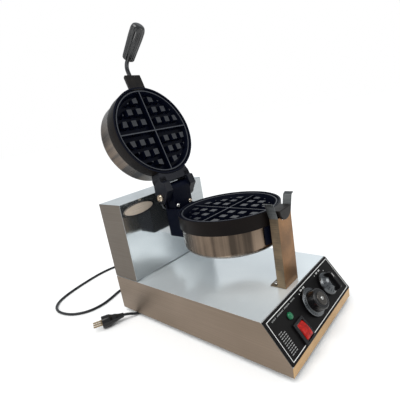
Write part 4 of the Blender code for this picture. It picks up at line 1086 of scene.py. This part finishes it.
def make_housing(name, place, band):
    """The spun steel housing behind a casting, with its own band tone, a tinted copy of the steel with
    painted reflections and shade.
    """
    top = -CASTING_HEIGHT - GAP
    fillet = (HOUSING_RADIUS - HOUSING_FILLET, -HOUSING_DEPTH + HOUSING_FILLET)
    outer = arc(fillet, HOUSING_FILLET, 0.0, -90.0, 14)
    inner = arc(fillet, HOUSING_FILLET - SHEET, -90.0, 0.0, 14)
    bead = [(HOUSING_RADIUS, top), (HOUSING_RADIUS + 0.0004, top - 0.0008), (HOUSING_RADIUS, top - 0.0018)]
    profile = [(HOUSING_RADIUS - SHEET, top), *bead, *outer, (0.0044, -HOUSING_DEPTH),
        (0.0044, -HOUSING_DEPTH + SHEET), *inner]
    shell = dress(turned(name, profile, place, 160, ring=True, angle=50.0), band, "pan")
    for face in shell.data.polygons:
        face.material_index = 1 if face.center.z < -HOUSING_DEPTH + 0.006 else 0
    return shell


def make_clamp(name, place):
    """The domed bolt that clamps a housing to its casting."""
    seat = -HOUSING_DEPTH - GAP
    profile = rounded([(0.004, -0.03), (0.004, seat), (0.0085, seat), (0.0085, seat - 0.0024),
        (0.006, seat - 0.0058), (0.0, seat - 0.007)], 0.001, 4, closed=False)
    return dress(turned(name, [(0.0, -0.03), *profile], place, 64), "chrome")


def half_journal(name, side, start, front, place):
    """Half of the round journal in front of the plates: the lower (side -1) or the upper (side 1) half."""
    lift = PARTING_HEIGHT + side * start
    sweep = arc((0.0, PARTING_HEIGHT), JOURNAL_RADIUS, 0.0, 180.0 * side, 40)
    outline = [(u, max(v, lift) if side > 0 else min(v, lift)) for u, v in sweep]
    rear = PLATE_SETBACK - sqrt(PLATE_RADIUS ** 2 - JOURNAL_RADIUS ** 2) + 0.003
    return dress(plate(name, [outline], -rear - FRONT, -front - FRONT, place @ FORWARD, 0.0014), "journal")


def make_strap():
    """The curved strap in front of the lower housing."""
    top = -CASTING_HEIGHT - 2 * GAP
    bottom = -HOUSING_DEPTH + HOUSING_FILLET
    corners = []
    faces = []
    steps = 24
    for step in range(steps + 1):
        turn = radians(-90 - STRAP_HALF_ANGLE + 2 * STRAP_HALF_ANGLE * step / steps)
        for radius in (HOUSING_RADIUS + GAP, PLATE_RADIUS - 0.0004):
            for height in (bottom, top):
                corners.append((radius * cos(turn), radius * sin(turn), height))
    for a in range(0, 4 * steps, 4):
        faces += [(a, a + 4, a + 5, a + 1), (a + 2, a + 3, a + 7, a + 6), (a, a + 2, a + 6, a + 4),
            (a + 1, a + 5, a + 7, a + 3)]
    faces += [(0, 1, 3, 2), (4 * steps, 4 * steps + 2, 4 * steps + 3, 4 * steps + 1)]
    strap = dress(mesh_piece("strap_plate", corners, faces, LOWER), "cast")
    stand_for(bevel(strap, 0.0005, 2, 60.0), "plate_head", "cast", "front_strap")


def make_plates():
    """Both castings with their housings, clamp bolts and journal halves, a small lug and the front strap."""
    # Both housings are the same steel; their band tones paint reflections and shade, darker on the upper one.
    for body, side, place, recess, band in (("plate_head", "lower", LOWER, LOWER_RECESS, "band"),
            ("upper_plate", "upper", UPPER, UPPER_RECESS, "upper_band_painted_reflection")):
        stand_for(make_casting(side, recess, place), body, "cast", f"{side}_casting")
        stand_for(make_housing(side + "_pan", place, band), body, "steel", f"{side}_housing")
        stand_for(make_clamp(side + "_bolt", place), body, "steel", f"{side}_clamp_bolt")
    lower = half_journal("journal_below", -1, GAP, LOWER_JOURNAL_SETBACK, UP)
    stand_for(lower, "plate_head", "cast", "lower_journal")
    upper = half_journal("journal_above", 1, PARTING_GAP + GAP, UPPER_JOURNAL_SETBACK, OPEN)
    stand_for(upper, "upper_plate", "cast", "upper_journal")
    lug = block("casting_lug", (-0.0475, 0.08, -0.008), (-0.0395, 0.0955, -0.0012), LOWER, 0.001)
    stand_for(dress(lug, "cast"), "plate_head", "cast")
    make_strap()


def from_front(line):
    """A side view's (setback, height) points, measured from the origin."""
    return [(FRONT + setback, height) for setback, height in line]


def make_carrier():
    """Carrier bracket, and the hinge block with two screws."""
    top = PARTING_HEIGHT - 0.007
    bottom = PARTING_HEIGHT - HOUSING_DEPTH + 0.004
    rear, web, inner = 0.321, 0.004, 0.027
    start = PLATE_SETBACK + sqrt(PLATE_FIT ** 2 - inner ** 2)
    cheek = [(start, top), (start, top - 0.03), (start + 0.004, bottom), (rear, bottom), (rear, top)]
    cheek = from_front(rounded(cheek, 0.003))
    pieces = [plate(f"cheek_{x}", [cheek], x, x + web, SIDE_VIEW) for x in (-inner - web, inner)]
    low, high = at(-0.03, rear - web, bottom), at(0.03, rear, PARTING_HEIGHT + 0.0092)
    pieces.append(block("carrier_back", low, high, UP, 0.0008))
    carrier = merged("carrier_frame", [dress(piece, "cast") for piece in pieces])
    stand_for(carrier, "plate_head", "cast", "carrier_bracket")

    face = 0.293
    back = rear - web - GAP
    wide = 0.0263
    hinge = (HINGE_SETBACK, HINGE_HEIGHT)
    side = [(face, PARTING_HEIGHT - 0.028), *arc(hinge, 0.0245, 146.4, 72.0, 20),
        *arc(hinge, 0.0125, 5.0, -75.0, 16), (back, PARTING_HEIGHT - 0.028)]
    outlines = [from_front(side), from_front(circle(hinge, BOLT_RADIUS + GAP))]
    body = plate("knuckle", outlines, -wide, wide, SIDE_VIEW, 0.0008)
    stand_for(dress(body, "cast"), "plate_head", "cast", "hinge_block")
    places = [move_to(at(x, face - 0.0002, PARTING_HEIGHT - 0.001), FORWARD) for x in (-0.019, 0.019)]
    make_screws("block_head", "hinge_block_screw", "plate_head", 0.0046, 0.0032, places, ("chrome", "zinc"))


def make_lid_bracket():
    """Bracket behind the upper plate with its two ears, and the hinge bolt and nut."""
    low = PARTING_HEIGHT + 0.0015
    high = PARTING_HEIGHT + 0.029
    rear = 0.2875
    half = EAR_OUTER
    start = 66.3
    curve = arc((0.0, PLATE_SETBACK), PLATE_FIT, start, 180.0 - start, 16)
    outline = [*curve, (-half, 0.276), (-half, rear), (half, rear), (half, 0.276)]
    outline = [(x, FRONT + s) for x, s in outline]
    pieces = [plate("bracket_floor", [outline], low, high, OPEN, 0.001)]
    ear = [(0.274, high), (0.274, low), (0.284, low), (0.288, PARTING_HEIGHT - 0.005),
        (0.308, PARTING_HEIGHT - 0.005), *arc((HINGE_SETBACK, HINGE_HEIGHT), 0.014, -60.0, 90.0, 24),
        (0.3, high + 0.006), (0.285, high)]
    for name, start_x, end_x in (("left", -half, -EAR_INNER), ("right", EAR_INNER, half)):
        pieces.append(plate(name + "_cheek", [from_front(ear)], start_x, end_x, OPEN @ SIDE_VIEW, 0.001))
    yoke = merged("lid_yoke", [dress(piece, "sheen") for piece in pieces])
    stand_for(yoke, "upper_plate", "cast", "lid_bracket")

    place = OPEN @ move_to(at(0.0, HINGE_SETBACK, HINGE_HEIGHT), TO_RIGHT)
    head = half + GAP
    profile = rounded([(0.0, half + 0.009), (BOLT_RADIUS, half + 0.009), (BOLT_RADIUS, -head),
        (0.008, -head), (0.008, -head - 0.003), (0.006, -head - 0.0058), (0.003, -head - 0.0058),
        (0.0026, -head - 0.0046), (0.0, -head - 0.0046)], 0.0007, 3, closed=False)
    stand_for(dress(turned("pivot_bolt", profile, place, 64), "zinc"), "upper_plate", "brass", "hinge_bolt")
    outlines = [rounded(circle((0, 0), 0.0092, 6), 0.0008, 3), circle((0, 0), 0.0056)]
    nut = plate("pivot_nut", outlines, head, head + 0.0065, place)
    stand_for(dress(nut, "chrome"), "upper_plate", "steel", "hinge_nut")


def make_handle():
    """The bent rod and the fluted grip."""
    slide = Vector((0.0, -cos(GRIP_SLOPE), -sin(GRIP_SLOPE)))
    grip = at(0.0, GRIP_SETBACK, GRIP_HEIGHT)
    start = at(0.0, UPPER_JOURNAL_SETBACK + 0.01, ROD_HEIGHT)
    reach = (ROD_HEIGHT - GRIP_HEIGHT) / sin(GRIP_SLOPE) * cos(GRIP_SLOPE)
    corner = at(0.0, GRIP_SETBACK + reach, ROD_HEIGHT)
    bend = 0.014
    bend_from = corner + Vector((0.0, bend, 0.0))
    bend_to = corner + slide * bend
    points = [start]
    for step in range(25):
        t = step / 24
        points.append(bend_from * (1 - t) ** 2 + corner * 2 * t * (1 - t) + bend_to * t * t)
    points.append(grip + slide * 0.052)
    bar = dress(wire("bent_rod", points, ROD_RADIUS, OPEN), "dark")
    stand_for(bar, "upper_plate", "dark_steel", "handle_rod")

    length = GRIP_LENGTH
    profile = rounded([(0.0, length), (0.0075, length), (0.0128, length - 0.0028), (0.0152, length - 0.01),
        (0.0152, length - 0.026), (0.0132, 0.0015), (0.012, 0.0)], 0.004, 6, closed=False)
    line = [profile[0]]
    for here, after in zip(profile, profile[1:]):
        count = max(1, round((Vector(after) - Vector(here)).length / 0.003))
        for step in range(1, count + 1):
            line.append(tuple(Vector(here).lerp(Vector(after), step / count)))
    line += [(0.009, 0.0012), (0.0048, 0.004)]

    def flutes(turn, radius, height):
        """Broad flutes from the open end to the rounded one."""
        if height < 0.0005:
            return radius
        fade = min(1.0, max(0.0, (length - 0.001 - height) / 0.01))
        return radius - 0.0017 * fade * (0.5 + 0.5 * cos(10 * turn)) ** 2

    place = OPEN @ move_to(grip, facing(slide))
    cover = dress(turned("fluted_grip", line, place, 200, shape=flutes, angle=50.0), "grip")
    stand_for(cover, "upper_plate", "black", "handle_grip")


# ---- kept solids

KEPT = {
    "bottom_tray": "plain", "bearing_frame": "dark", "bearing_sleeve": "brass", "thermostat_body": "cream",
    "timer_body": "cream", "terminal_block": "cream", "lower_heater": "dark", "upper_heater": "dark",
    "spindle": "chrome", "spindle_collar": "dark", "thermostat_shaft": "chrome", "timer_shaft": "chrome",
}


def dress_kept():
    """Materials for the solids that stay as they are."""
    for name, skin in KEPT.items():
        dress(frame["nodes"][name], skin)


def settle_cuts():
    """Gives every carved piece its final mesh, and removes the cutting tools."""
    bpy.context.view_layer.update()
    graph = bpy.context.evaluated_depsgraph_get()
    for piece in [o for o in bpy.data.objects if any(step.type == "BOOLEAN" for step in o.modifiers)]:
        solid = bpy.data.meshes.new_from_object(piece.evaluated_get(graph))
        piece.modifiers.clear()
        piece.data = solid
    for tool in CUTTERS:
        bpy.data.objects.remove(tool, do_unlink=True)


for make in (make_camera, make_light, make_floor, make_lead, make_base, make_tower, make_post, make_controls,
        make_plates, make_carrier, make_lid_bracket, make_handle, dress_kept, settle_cuts):
    make()
